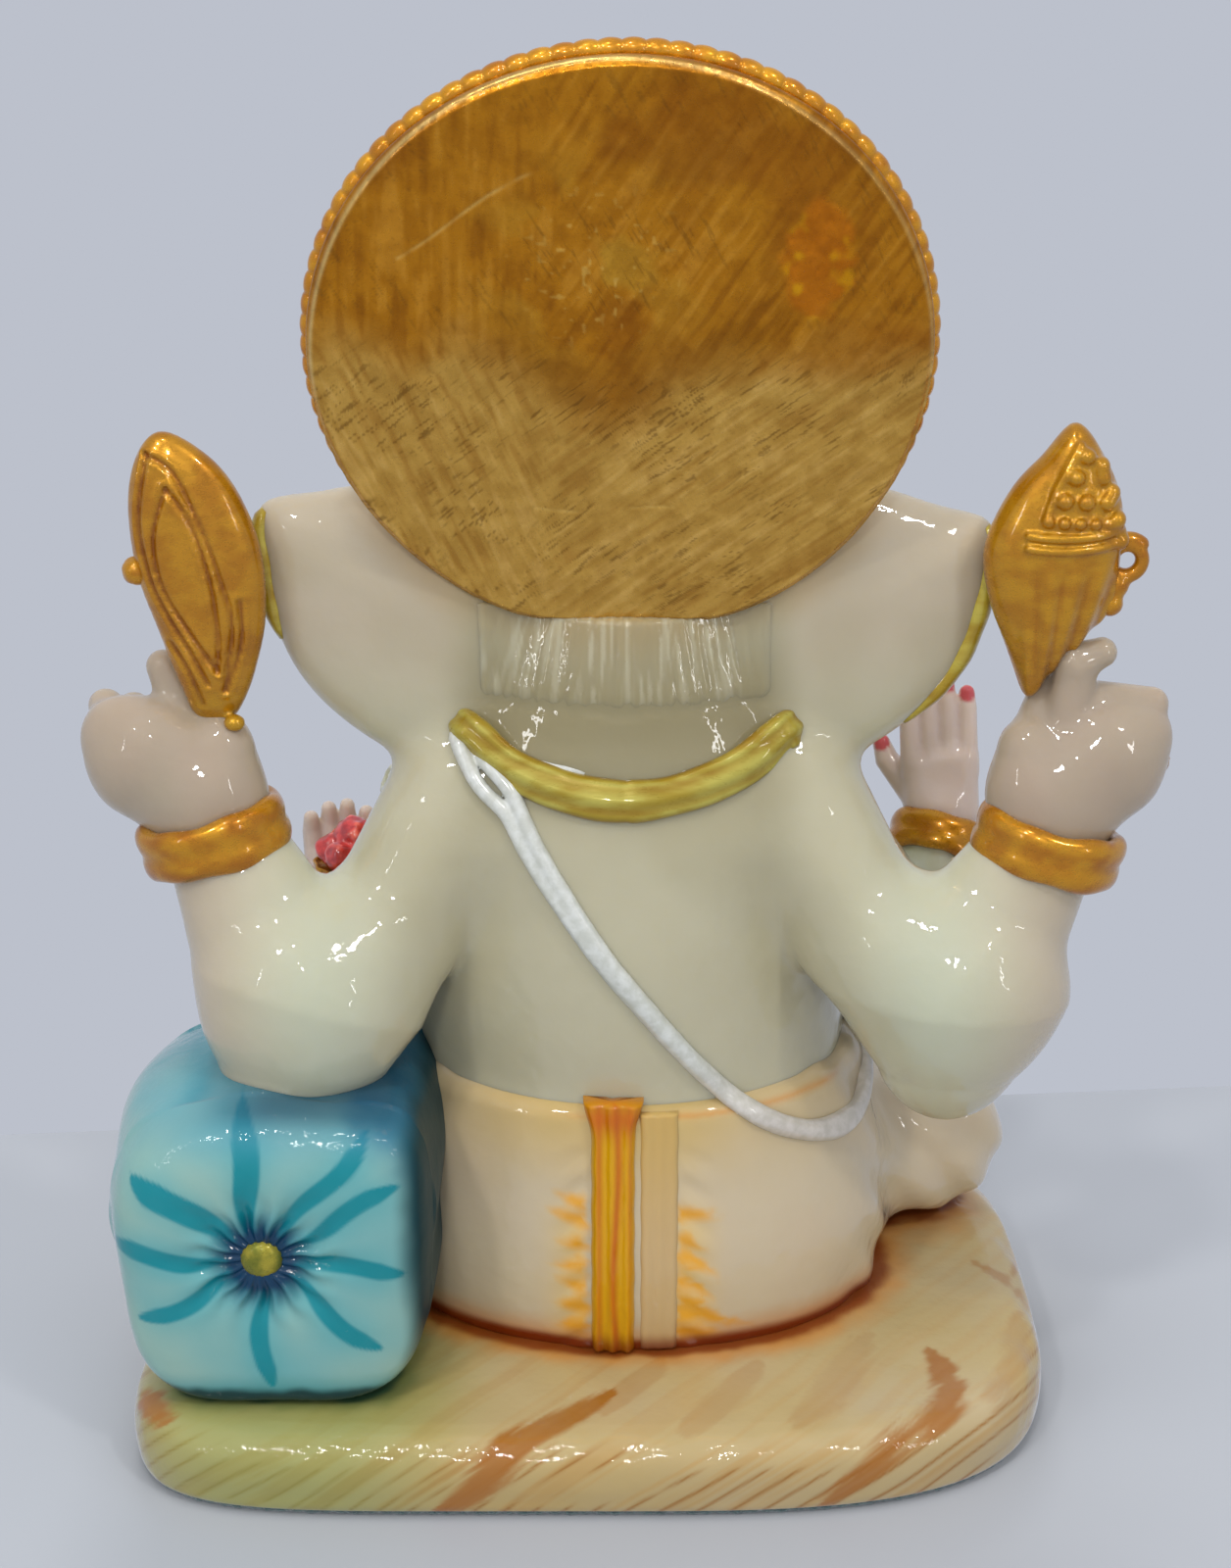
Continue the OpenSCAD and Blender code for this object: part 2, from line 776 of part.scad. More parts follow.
module plate_beads() { color("darkgoldenrod") at_figure() beads_form(); }

module crown_band_form() {
    translate([0, -4, crown_z]) scale([1, 0.96, 1]) rotate_extrude()
        polygon([[0, 0], [22.4, 0], [24, 1.2], [24, 2.4], [23, 3.4], [24, 4.4], [24, 5.6], [22.6, 7], [0, 7]]);
}

module crown_dome_form() {
    translate([0, -4, crown_z + 7]) rotate_extrude()
        polygon([[0, 0], [20.5, 0], [21.4, 4], [20.6, 8], [17.6, 12], [18.2, 13.6], [16.6, 18], [12.8, 22],
                 [13.2, 23.4], [11, 27.4], [7.6, 30], [0, 30]]);
}

module crown_finial_form() {
    translate([0, -4, crown_z + 37]) rotate_extrude()
        polygon([[0, 0], [5.4, 0], [5.8, 1.4], [3.4, 2.6], [4.6, 4.6], [4.2, 6.8], [2.2, 9], [0.9, 12], [0, 12.6]]);
}

module crown_band() {
    color(gold) at_figure() difference() {
        crown_band_form();
        plate_space();
    }
}

module crown_dome() {
    color(gold) at_figure() difference() {
        crown_dome_form();
        plate_space();
        jewels_form();
    }
}

module crown_finial() {
    color(gold) at_figure() difference() {
        crown_finial_form();
        plate_space();
    }
}

module jewels_form() {
    for (bearing = [-144, -117, -90, -63, -36])
        translate([0, -4, crown_z + 12]) rotate([0, 0, bearing]) translate([20.8, 0, 0]) scale([0.6, 0.8, 1.2]) sphere(2.6);
}

module crown_jewels() { color("crimson") at_figure() jewels_form(); }

// ---------- emblems ----------

leaf_edge = [for (s = smooth_loop([
    [60.5, 148.6, 0], [65, 146.6, 0], [67.6, 140, 0], [67, 130, 0], [65, 121, 0], [62.6, 113, 0],
    [59.4, 107.5, 0], [56, 110, 0], [51.4, 118.5, 0], [50.2, 128, 0], [51.4, 137, 0], [55.4, 145, 0]
], 2)) [s[0], s[1]]];

conch_edge = [for (s = smooth_loop([
    [60.3, 150, 0], [64.4, 145.6, 0], [67.2, 139.4, 0], [67.6, 133, 0], [67, 126, 0], [64, 120.4, 0],
    [59.4, 115.5, 0], [56, 111.5, 0], [52.8, 118.6, 0], [49.9, 126, 0], [49, 133, 0], [52, 140.6, 0], [56, 145.4, 0]
], 2)) [s[0], s[1]]];

module emblem_leaf_form() { pillow(leaf_edge, 10.5, 4, 3.4, [59.4, 128]); }
module emblem_conch_form() { pillow(conch_edge, 10.5, 5, 4, [58.8, 131]); }

module emblem_leaf() {
    color(gold) at_figure() difference() {
        emblem_leaf_form();
        ear_form();
        rear_hand_left_form();
    }
}

module emblem_leaf_bead() {
    color(gold) at_figure() difference() {
        translate([67.6, 11, 129.6]) sphere(1.7);
        emblem_leaf_form();
    }
}

module emblem_conch() {
    color(gold) at_figure() difference() {
        mirrored(-1) emblem_conch_form();
        mirrored(-1) ear_form();
        rear_hand_right_form();
        conch_scroll_form();
        conch_ribs_form();
    }
}

// Rolled lip of the shell, standing off its outer side.
module conch_scroll_form() {
    translate([-68.2, 11, 131.2]) rotate([90, 0, 0]) rotate_extrude() translate([2, 0]) circle(1.6);
    translate([-66.6, 11, 125]) sphere(1.8);
}

module conch_scroll() { color(gold) at_figure() conch_scroll_form(); }

// Raised ring round the shell, and rows of beads that shorten towards its tip.
module conch_ribs_form() {
    band([for (i = [0 : 6]) [-50.6 - 2.7*i, 12.2 + 2.6*sin(30*i), 136.4 - 0.45*i]],
         [for (i = [0 : 6]) unit([cos(180 - 30*i)*-0.5, 1, 0])], 1.6, 1.2);
    for (row = [0 : 2], i = [0 : 3 - row])
        translate([-56.6 - 2.9*i - 0.9*row, 14.2 - 0.7*row, 139.4 + 2.9*row]) sphere(1.25);
}

module conch_ribs() { color(gold) at_figure() conch_ribs_form(); }

// ---------- nodes ----------

felt_pad();
base();
hips();
pleat_strip();
pleat_band();
leg_right();
leg_left();
foot_right();
foot_left();
anklet_right();
anklet_left();
torso();
sacred_thread();
necklace();
pendant();
rear_arm_left();
rear_arm_right();
rear_hand_left();
rear_hand_right();
rear_bangle_left();
rear_bangle_right();
palm_bead();
front_arm_left();
front_arm_right();
front_hand_left();
front_hand_right();
front_bangle_left();
front_bangle_right();
sweet_dish();
sweets();
head();
hair();
ear_left();
ear_right();
ear_trim_left();
ear_trim_right();
trunk();
tusk_left();
tusk_right();
eyes();
forehead_mark();
crown_plate();
plate_beads();
crown_band();
crown_dome();
crown_finial();
crown_jewels();
emblem_leaf();
emblem_leaf_bead();
emblem_conch();
conch_scroll();
conch_ribs();
bolster();
bolster_buttons();
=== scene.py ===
import math

import bpy
import numpy as np
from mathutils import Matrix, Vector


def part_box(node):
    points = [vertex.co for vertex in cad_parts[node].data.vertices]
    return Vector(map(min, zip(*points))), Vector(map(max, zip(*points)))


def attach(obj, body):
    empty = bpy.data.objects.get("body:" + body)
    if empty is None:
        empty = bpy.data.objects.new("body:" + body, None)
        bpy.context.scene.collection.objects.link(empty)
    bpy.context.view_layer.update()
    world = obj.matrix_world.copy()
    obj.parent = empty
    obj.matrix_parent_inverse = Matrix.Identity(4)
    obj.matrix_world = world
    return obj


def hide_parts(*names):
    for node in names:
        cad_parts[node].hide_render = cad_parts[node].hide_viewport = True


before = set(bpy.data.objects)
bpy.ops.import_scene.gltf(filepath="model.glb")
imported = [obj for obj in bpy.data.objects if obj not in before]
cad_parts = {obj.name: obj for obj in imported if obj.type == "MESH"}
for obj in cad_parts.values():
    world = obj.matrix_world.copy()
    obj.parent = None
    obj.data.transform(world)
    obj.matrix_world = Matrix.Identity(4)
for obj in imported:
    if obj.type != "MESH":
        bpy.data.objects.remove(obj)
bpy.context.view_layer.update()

# A seated deity statue of painted resin, seen from its back. Shapes are worked out in millimetres:
# +X is the figure's left, +Y its back and +Z up. Most sections end with the functions that make a piece,
# and the list PIECES at the end calls them in turn.

MM = 0.001
TAU = 2 * math.pi
SIDES = ((1, "left"), (-1, "right"))


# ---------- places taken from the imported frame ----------

def low(node):
    return np.array(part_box(node)[0]) / MM


def high(node):
    return np.array(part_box(node)[1]) / MM


def middle(node):
    return (low(node) + high(node)) / 2


MID = (low("ear_right")[0] + high("ear_left")[0]) / 2       # middle plane of the figure
SEAT = high("base")[2]                                      # top of the base
WAIST = high("hips")[2]
NECK = low("head")[2]
CROWN = low("crown_band")[2]
PLEAT_X = middle("pleat_strip")[0]
BAND_X = middle("pleat_band")[0]


# ---------- numbers ----------

def array(*rows):
    return np.array(rows, float)


def at_figure(x, y, z):
    """A place whose x is given from the figure's middle plane."""
    return array(x + MID, y, z)


def ramp(x, start, end):
    """0 at start, 1 at end, smooth between them."""
    t = np.clip((x - start) / (end - start), 0, 1)
    return t * t * (3 - 2 * t)


def bump(x, centre, width):
    return np.exp(-((x - centre) / width) ** 2)


def length(v):
    return np.sqrt(np.einsum("...i,...i->...", v, v))


def unit(v):
    return v / np.maximum(length(v), 1e-9)[..., None]


def bearings(count):
    return np.arange(count) * TAU / count


def smooth_path(points, steps, looped=False):
    """Points on the smooth curve through the given rows, so many steps to a span."""
    p = np.array(points, float)
    last = len(p) - 1
    t = (np.arange(steps) / steps)[:, None]
    out = []
    for i in range(last + looped):
        near = np.arange(i - 1, i + 3)
        a, b, c, d = p[near % len(p)] if looped else p[np.clip(near, 0, last)]
        bend, twist = 2 * a - 5 * b + 4 * c - d, 3 * b - a - 3 * c + d
        out.append(0.5 * (2 * b + (c - a) * t + bend * t ** 2 + twist * t ** 3))
    return np.vstack(out if looped else out + [p[-1:]])


def lattice(i, seed):
    """A repeatable random number from 0 to 1 for each whole-number point."""
    h = (i[..., 0] * 73856093) ^ (i[..., 1] * 19349663) ^ (i[..., 2] * 83492791) ^ (seed * 2654435)
    h = (h ^ (h >> 13)) * 1274126177
    h = h & 0x7FFFFFFF
    return ((h ^ (h >> 16)) & 0xFFFF) / 65535.0


def cloud(p, size, seed=1, octaves=2):
    """Soft noise from 0 to 1 whose patches are about size millimetres wide."""
    total, weight = 0.0, 0.0
    for octave in range(octaves):
        q = p / size * 2 ** octave + 100.0
        base = np.floor(q).astype(np.int64)
        f = q - base
        f = f * f * (3 - 2 * f)
        value = 0.0
        for corner in range(8):
            step = np.array([corner & 1, corner >> 1 & 1, corner >> 2 & 1])
            fx, fy, fz = (f[..., k] if step[k] else 1 - f[..., k] for k in range(3))
            value = value + fx * fy * fz * lattice(base + step, seed + octave)
        total, weight = total + value / 2 ** octave, weight + 1 / 2 ** octave
    return total / weight


def drift(p, size, seed, octaves=2):
    """The same noise, from -0.5 to 0.5."""
    return cloud(p, size, seed, octaves) - 0.5


# ---------- clay: solids as distances, joined softly ----------

FAR = 12.0                      # a distance that counts as well outside
ROOM = 4.0                      # how far round a lump its distance is worked out


class Lump:
    """A shape given by its distance function, which counts inside its own box only."""

    def __init__(self, distance, lowest, highest, soft=0.0, cut=False):
        self.distance, self.soft, self.cut = distance, soft, cut
        self.lowest = np.array(lowest) - ROOM - soft
        self.highest = np.array(highest) + ROOM + soft


def inside_box(x, y, z, lowest, highest):
    """Which points lie inside a box."""
    (x0, y0, z0), (x1, y1, z1) = lowest, highest
    return np.flatnonzero((x > x0) & (x < x1) & (y > y0) & (y < y1) & (z > z0) & (z < z1))


def clay(lumps, p):
    """Distance from points p to the solid that the lumps make, in order."""
    d = np.full(len(p), FAR)
    if not len(p):
        return d
    x, y, z = np.ascontiguousarray(p.T)
    first, last = p.min(0), p.max(0)
    for lump in lumps:
        if np.any(lump.lowest > last) or np.any(lump.highest < first):
            continue
        near = inside_box(x, y, z, lump.lowest, lump.highest)
        if not len(near):
            continue
        a, b, k = d[near], lump.distance(p[near]), max(lump.soft, 1e-6)
        if lump.cut:
            h = np.clip(0.5 + 0.5 * (a + b) / k, 0, 1)
            d[near] = -b * (1 - h) + a * h + k * h * (1 - h)
        else:
            h = np.clip(0.5 + 0.5 * (b - a) / k, 0, 1)
            d[near] = b * (1 - h) + a * h - k * h * (1 - h)
    return d


def limb(a, b, ra, rb, soft=0.0, flat=1.0, cut=False):
    """Round-ended cone from a to b; flat squeezes it front to back."""
    a, b = np.array(a, float), np.array(b, float)
    squeeze = np.array([1, 1 / flat, 1])

    def distance(p):
        q, axis = (p - a) * squeeze, (b - a) * squeeze
        t = np.clip(q @ axis / (axis @ axis), 0, 1)
        return (length(q - t[:, None] * axis) - (ra + (rb - ra) * t)) * flat ** 0.5
    r = max(ra, rb)
    return Lump(distance, np.minimum(a, b) - r, np.maximum(a, b) + r, soft, cut)


def bone(a, b, *settings, **more):
    """A limb whose ends are given from the figure's middle plane."""
    return limb(at_figure(*a), at_figure(*b), *settings, **more)


def oval(centre, radius, soft=0.0, cut=False, turn=0.0):
    """Ellipsoid, turned about +Z by turn degrees."""
    centre, radius = np.array(centre, float), np.array(radius, float)
    s, k = math.sin(math.radians(turn)), math.cos(math.radians(turn))

    def distance(p):
        q = p - centre
        q = np.stack([q[:, 0] * k + q[:, 1] * s, q[:, 1] * k - q[:, 0] * s, q[:, 2]], 1)
        k0, k1 = length(q / radius), length(q / radius ** 2)
        return k0 * (k0 - 1) / np.maximum(k1, 1e-9)
    return Lump(distance, centre - radius.max(), centre + radius.max(), soft, cut)


def bulge(centre, *settings, **more):
    """An oval whose middle is given from the figure's middle plane."""
    return oval(at_figure(*centre), *settings, **more)


def chain(points, radii, soft=0.0):
    """Tube along a row of points, as one lump."""
    points = np.array(points, float)
    radii = np.broadcast_to(np.array(radii, float), len(points))

    def distance(p):
        x, y, z = np.ascontiguousarray(p.T)
        best = np.full(len(p), FAR)
        for a, b, ra, rb in zip(points[:-1], points[1:], radii[:-1], radii[1:]):
            near = inside_box(x, y, z, np.minimum(a, b) - ra - ROOM, np.maximum(a, b) + ra + ROOM)
            q, axis = p[near] - a, b - a
            t = np.clip(q @ axis / max(axis @ axis, 1e-9), 0, 1)
            best[near] = np.minimum(best[near], length(q - t[:, None] * axis) - (ra + (rb - ra) * t))
        return best
    r = radii.max()
    return Lump(distance, points.min(0) - r, points.max(0) + r, soft)


def at_height(run, z):
    """Centre x, y and half widths of a column of level ellipses at height z."""
    return [np.interp(z, run[:, 2], run[:, k]) for k in (0, 1, 3, 4)]


def column(run, soft=0.0, round_top=3.0):
    """Upright lump of level ellipses, given as rows of x, y, z and two half widths."""
    def distance(p):
        x, y, w, d = at_height(run, p[:, 2])
        q = np.stack([p[:, 0] - x, p[:, 1] - y], 1)
        r = np.stack([w, d], 1)
        k0, k1 = length(q / r), length(q / r ** 2)
        side = k0 * (k0 - 1) / np.maximum(k1, 1e-9)
        ends = np.maximum(run[0, 2] - p[:, 2], p[:, 2] - run[-1, 2])
        corner = np.hypot(np.maximum(side + round_top, 0), np.maximum(ends + round_top, 0)) - round_top
        return np.where(np.minimum(side, ends) > -round_top, corner, np.maximum(side, ends))
    half = array(run[:, 3:5].max(), run[:, 3:5].max(), 0)
    return Lump(distance, run[:, :3].min(0) - half, run[:, :3].max(0) + half, soft)


def outline_radius(edge, centre):
    """Radius of an outline in x and z about its centre, as a function of bearing."""
    q = edge - centre
    a = np.arctan2(q[:, 1], q[:, 0])
    order = np.argsort(a)
    a, r = a[order], length(q)[order]
    a, r = np.concatenate([a - TAU, a, a + TAU]), np.tile(r, 3)

    def radius(bearing):
        return np.interp(bearing, a, r)
    return radius


def pillow(edge, y, swell_back, swell_front, centre, soft=0.0, side=1, power=2.0):
    """Lens-shaped lump: an outline in x and z that swells along y."""
    centre = np.array(centre, float)
    radius = outline_radius(edge, centre)
    reach = np.abs(edge - centre).max() * 1.5

    def distance(p):
        qx, qz = side * (p[:, 0] - MID) - centre[0], p[:, 2] - centre[1]
        r = radius(np.arctan2(qz, qx))
        v = np.abs(p[:, 1] - y)
        s = np.where(p[:, 1] > y, swell_back, swell_front)
        out = np.hypot(qx, qz) / r
        k0 = (out ** power + (v / s) ** power) ** (1 / power)
        k1 = np.hypot(out ** (power - 1) / r, (v / s) ** (power - 1) / s)
        return (k0 - 1) * np.maximum(k0, 0.3) ** (power - 1) / np.maximum(k1, 1e-6)
    place = at_figure(side * centre[0], y, centre[1])
    lowest, highest = place - array(reach, swell_front, reach), place + array(reach, swell_back, reach)
    return Lump(distance, lowest, highest, soft)


def mirrored(lump):
    """The same lump on the figure's other side."""
    flip, shift = array(-1, 1, 1), array(2 * MID, 0, 0)

    def distance(p):
        return lump.distance(p * flip + shift)
    made = Lump(distance, [0, 0, 0], [0, 0, 0], lump.soft, lump.cut)
    ends = np.stack([lump.lowest, lump.highest]) * flip + shift
    made.lowest, made.highest = ends.min(0), ends.max(0)
    return made


def on_side(side, lumps):
    """Lumps made for the figure's left, mirrored if the side is the right one."""
    return lumps if side > 0 else [mirrored(lump) for lump in lumps]


# ---------- meshes ----------

BLOCK = 4                       # grid points along the side of a block that is judged from its middle
CHUNK = 20000                   # points worked out at a time


def in_chunks(field, p):
    return np.concatenate([field(p[i:i + CHUNK]) for i in range(0, len(p), CHUNK)])


def grid_distances(field, axes, step):
    """Distances on a grid; blocks well away from the surface get the value of their middle."""
    middles = [a.reshape(-1, BLOCK).mean(1) for a in axes]
    d = in_chunks(field, np.stack(np.meshgrid(*middles, indexing="ij"), -1).reshape(-1, 3))
    d = d.reshape([len(m) for m in middles])
    for axis in range(3):
        d = d.repeat(BLOCK, axis)
    near = np.argwhere(np.abs(d) < 1.1 * BLOCK * step + 1.0)
    p = np.stack([axes[k][near[:, k]] for k in range(3)], 1)
    d[tuple(near.T)] = in_chunks(field, p)
    return d


def pull(field, p, step, h=0.1):
    """Moves points onto the field's zero surface, by at most part of a step."""
    here = in_chunks(field, p)
    g = np.stack([in_chunks(field, p + h * e) - here for e in np.eye(3)], 1) / h
    move = here[:, None] * g / np.maximum((g ** 2).sum(1), 0.05)[:, None]
    return p - np.clip(move, -0.4 * step, 0.4 * step)


def surface(field, lowest, highest, step):
    """Quads on the field's zero surface: one point per crossed cell, then pulled onto the surface."""
    axes = []
    for a, b in zip(lowest, highest):
        blocks = math.ceil(((b - a) / step + 3) / BLOCK)
        axes.append(a + step * (np.arange(blocks * BLOCK) - 1))
    d = grid_distances(field, axes, step)
    inside = d < 0
    cells, wheres, quads = [], [], []
    for axis in range(3):
        a, b = [slice(None)] * 3, [slice(None)] * 3
        a[axis], b[axis] = slice(None, -1), slice(1, None)
        a, b = tuple(a), tuple(b)
        crossed = inside[a] != inside[b]
        ijk = np.argwhere(crossed)
        da, db = d[a][crossed], d[b][crossed]
        where = np.stack([axes[k][ijk[:, k]] for k in range(3)], 1)
        where[:, axis] += step * da / (da - db)
        u, v = (axis + 1) % 3, (axis + 2) % 3
        corners = []
        for du, dv in ((-1, -1), (0, -1), (0, 0), (-1, 0)):
            cell = ijk.copy()
            cell[:, u] += du
            cell[:, v] += dv
            corners.append(np.ravel_multi_index(tuple(cell.T), d.shape))
            wheres.append(where)
        cells += corners
        quad = np.stack(corners, 1)
        quads.append(np.where(inside[a][crossed][:, None], quad, quad[:, ::-1]))
    used, place = np.unique(np.concatenate(cells), return_inverse=True)
    wheres = np.concatenate(wheres)
    count = np.bincount(place)
    points = np.stack([np.bincount(place, wheres[:, k]) / count for k in range(3)], 1)
    for _ in range(2):
        points = pull(field, points, step)
    return points, np.searchsorted(used, np.concatenate(quads))


def shaped(lumps, relief=None, floor=None):
    """Field of the lumps with relief added close to their surface, cut off at height floor if given."""
    def field(p):
        d = clay(lumps, p)
        if relief is not None:
            near = np.abs(d) < 2.5
            d[near] -= relief(p[near])
        return d if floor is None else np.maximum(d, floor - p[:, 2])
    return field


def model(lumps, step, relief=None, floor=None):
    """Mesh of the solid that the lumps make, on a grid of the given step."""
    spare = 3.0                 # a lump's box is that much roomier than the grid has to be
    adding = [lump for lump in lumps if not lump.cut]
    lowest = np.min([lump.lowest for lump in adding], axis=0) + spare
    highest = np.max([lump.highest for lump in adding], axis=0) - spare
    return surface(shaped(lumps, relief, floor), lowest, highest, step)


def rings(sections, looped=False):
    """Quads between closed sections, which all have the same number of points."""
    s = np.array(sections, float)
    m, n = s.shape[:2]
    i, k = np.meshgrid(np.arange(m if looped else m - 1), np.arange(n), indexing="ij")
    after, beside = (i + 1) % m, (k + 1) % n
    corners = [i * n + k, i * n + beside, after * n + beside, after * n + k]
    return s.reshape(-1, 3), np.stack(corners, -1).reshape(-1, 4)


def capped(sections):
    """Rings whose first and last sections are closed with fans of quads to a middle point."""
    points, faces = rings(sections)
    n = len(sections[0])
    last = len(points) - n
    points = np.vstack([points, points[:n].mean(0), points[last:].mean(0)])
    first_mid, last_mid = len(points) - 2, len(points) - 1
    k = np.arange(0, n, 2)
    start = np.stack([k, np.full(len(k), first_mid), (k + 2) % n, (k + 1) % n], 1)
    end = np.stack([last + k, last + (k + 1) % n, last + (k + 2) % n, np.full(len(k), last_mid)], 1)
    return points, np.vstack([faces, start, end])


def inside_out(mesh):
    return mesh[0], mesh[1][:, ::-1]


def sweep(path, outward, profile, looped=False):
    """Profile rows [out, across] carried along a path whose outward directions are given."""
    ahead = np.roll(path, -1, 0) if looped else np.vstack([path[1:], path[-1:]])
    behind = np.roll(path, 1, 0) if looped else np.vstack([path[:1], path[:-1]])
    along = unit(ahead - behind)
    across = unit(np.cross(along, outward))
    out = np.cross(across, along)
    sections = path[:, None] + profile[..., :1] * out[:, None] + profile[..., 1:] * across[:, None]
    return inside_out(rings(sections, looped) if looped else capped(sections))


def ellipse(count, out, across):
    """Profile for a sweep."""
    b = bearings(count)
    return np.stack([out * np.cos(b), across * np.sin(b)], 1)


def join(*meshes):
    points, faces, start = [], [], 0
    for p, f in meshes:
        points.append(p)
        faces.append(f + start)
        start += len(p)
    return np.vstack(points), np.vstack(faces)


def ball(centre, radius, steps=10, wobble=0.0, seed=1):
    """Round bead, a little uneven if wobble is given."""
    a = np.radians(np.linspace(-90, 90, steps + 1)[1:-1])[:, None]
    b = bearings(2 * steps)[None]
    points, faces = capped(np.stack([np.cos(a) * np.cos(b), np.cos(a) * np.sin(b), np.sin(a) + 0 * b], -1))
    points[-2:] = array([0, 0, -1], [0, 0, 1])
    reach = np.array(radius) * (1 + wobble * drift(points * 2.2, 1, seed)[:, None])
    return points * reach + np.array(centre), faces


def lathe(rows, steps, turns, flutes=None):
    """Solid of revolution about +Z through rows of radius and z; flutes scales the radius by z and bearing."""
    b = bearings(turns)
    sections = []
    for r, z in smooth_path(rows, steps):
        rr = r + 0 * b if flutes is None else r * flutes(z, b)
        sections.append(np.stack([rr * np.cos(b), rr * np.sin(b), z + 0 * b], 1))
    return capped(sections)


def build(name, mesh, look, paint, *nodes, masks=None):
    """A piece that stands for some CAD nodes, with its paint colours and masks as attributes."""
    data = bpy.data.meshes.new(name)
    points, faces = mesh
    material, slot = look
    data.vertices.add(len(points))
    data.vertices.foreach_set("co", (points * MM).ravel())
    data.loops.add(faces.size)
    data.loops.foreach_set("vertex_index", faces.ravel().astype(np.int32))
    data.polygons.add(len(faces))
    data.polygons.foreach_set("loop_start", (np.arange(len(faces)) * faces.shape[1]).astype(np.int32))
    data.update(calc_edges=True)
    data.validate()
    data.polygons.foreach_set("use_smooth", np.ones(len(data.polygons), bool))
    if paint is not None:
        colours = data.color_attributes.new("paint", "FLOAT_COLOR", "POINT")
        colours.data.foreach_set("color", np.hstack([paint, np.ones((len(paint), 1))]).ravel())
    for key, values in (masks or {}).items():
        data.attributes.new(key, "FLOAT", "POINT").data.foreach_set("value", values.astype(np.float32))
    piece = bpy.data.objects.new(name, data)
    bpy.context.scene.collection.objects.link(piece)
    data.materials.append(material)
    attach(piece, "root")
    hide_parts(*nodes)


# ---------- colours and materials ----------

def srgb(r, g, b):
    """Linear colour of a screen colour given from 0 to 255."""
    c = np.array([r, g, b], float) / 255
    return np.where(c <= 0.04045, c / 12.92, ((c + 0.055) / 1.055) ** 2.4)


def mixed(a, b, share):
    """Colours a and b mixed point by point."""
    share = np.clip(np.asarray(share, float), 0, 1)[..., None]
    return a * (1 - share) + b * share


def all_one(mesh):
    """Paint that leaves the material's own colour as it is."""
    return np.ones((len(mesh[0]), 3))


class Nodes:
    """Small helper to wire a material."""

    def __init__(self, name):
        self.material = bpy.data.materials.new(name)
        self.material.use_nodes = True
        self.tree = self.material.node_tree
        self.tree.nodes.clear()

    def add(self, kind, **settings):
        """A node with its settings and the values of its sockets."""
        node = self.tree.nodes.new(kind)
        for key, value in settings.items():
            if key in node.inputs:
                node.inputs[key].default_value = value
            else:
                setattr(node, key, value)
        return node

    def feed(self, socket, value):
        """Sets a socket to a number, a colour or another node's output."""
        if isinstance(value, bpy.types.NodeSocket):
            self.tree.links.new(value, socket)
        elif socket.type == "RGBA":
            socket.default_value = [*value, 1.0]
        else:
            socket.default_value = value

    def noise(self, size, detail=3.0, stretch=(1, 1, 1), roughness=0.55):
        """Noise with patches about size millimetres wide, longer where stretch is below 1."""
        mapping = self.add("ShaderNodeMapping", vector_type="POINT")
        mapping.inputs["Scale"].default_value = stretch
        self.feed(mapping.inputs["Vector"], self.add("ShaderNodeTexCoord").outputs["Object"])
        node = self.add("ShaderNodeTexNoise", Scale=1 / (size * MM), Detail=detail, Roughness=roughness)
        self.feed(node.inputs["Vector"], mapping.outputs["Vector"])
        return node.outputs["Fac"]

    def curve(self, value, start, end, low_value=0.0, high_value=1.0):
        node = self.add("ShaderNodeMapRange", interpolation_type="SMOOTHSTEP")
        settings = {"Value": value, "From Min": start, "From Max": end,
                    "To Min": low_value, "To Max": high_value}
        for key, setting in settings.items():
            self.feed(node.inputs[key], setting)
        return node.outputs["Result"]

    def math(self, operation, a, b):
        node = self.add("ShaderNodeMath", operation=operation)
        self.feed(node.inputs[0], a)
        self.feed(node.inputs[1], b)
        return node.outputs[0]

    def mix(self, share, a, b, blend="MIX"):
        node = self.add("ShaderNodeMix", data_type="RGBA", blend_type=blend, clamp_factor=True)
        share_at, a_at, b_at = node.inputs[0], node.inputs[6], node.inputs[7]
        self.feed(share_at, share)
        self.feed(a_at, a)
        self.feed(b_at, b)
        return node.outputs[2]

    def attribute(self, name, output="Color"):
        return self.add("ShaderNodeAttribute", attribute_name=name).outputs[output]

    def bumps(self, *layers):
        """Bump normal from (height, depth in millimetres) layers."""
        normal = None
        for height, depth in layers:
            node = self.add("ShaderNodeBump", Strength=1.0, Distance=depth * MM)
            self.feed(node.inputs["Height"], height)
            if normal is not None:
                self.feed(node.inputs["Normal"], normal)
            normal = node.outputs["Normal"]
        return normal

    def shade(self, colour, roughness, normal=None, **settings):
        """The finished material; settings are the shader's sockets, with _ for each space."""
        shader = self.add("ShaderNodeBsdfPrincipled")
        self.feed(shader.inputs["Base Color"], colour)
        self.feed(shader.inputs["Roughness"], roughness)
        if normal is not None:
            self.feed(shader.inputs["Normal"], normal)
        for key, value in settings.items():
            self.feed(shader.inputs[key.replace("_", " ")], value)
        self.feed(self.add("ShaderNodeOutputMaterial").inputs["Surface"], shader.outputs[0])
        return self.material


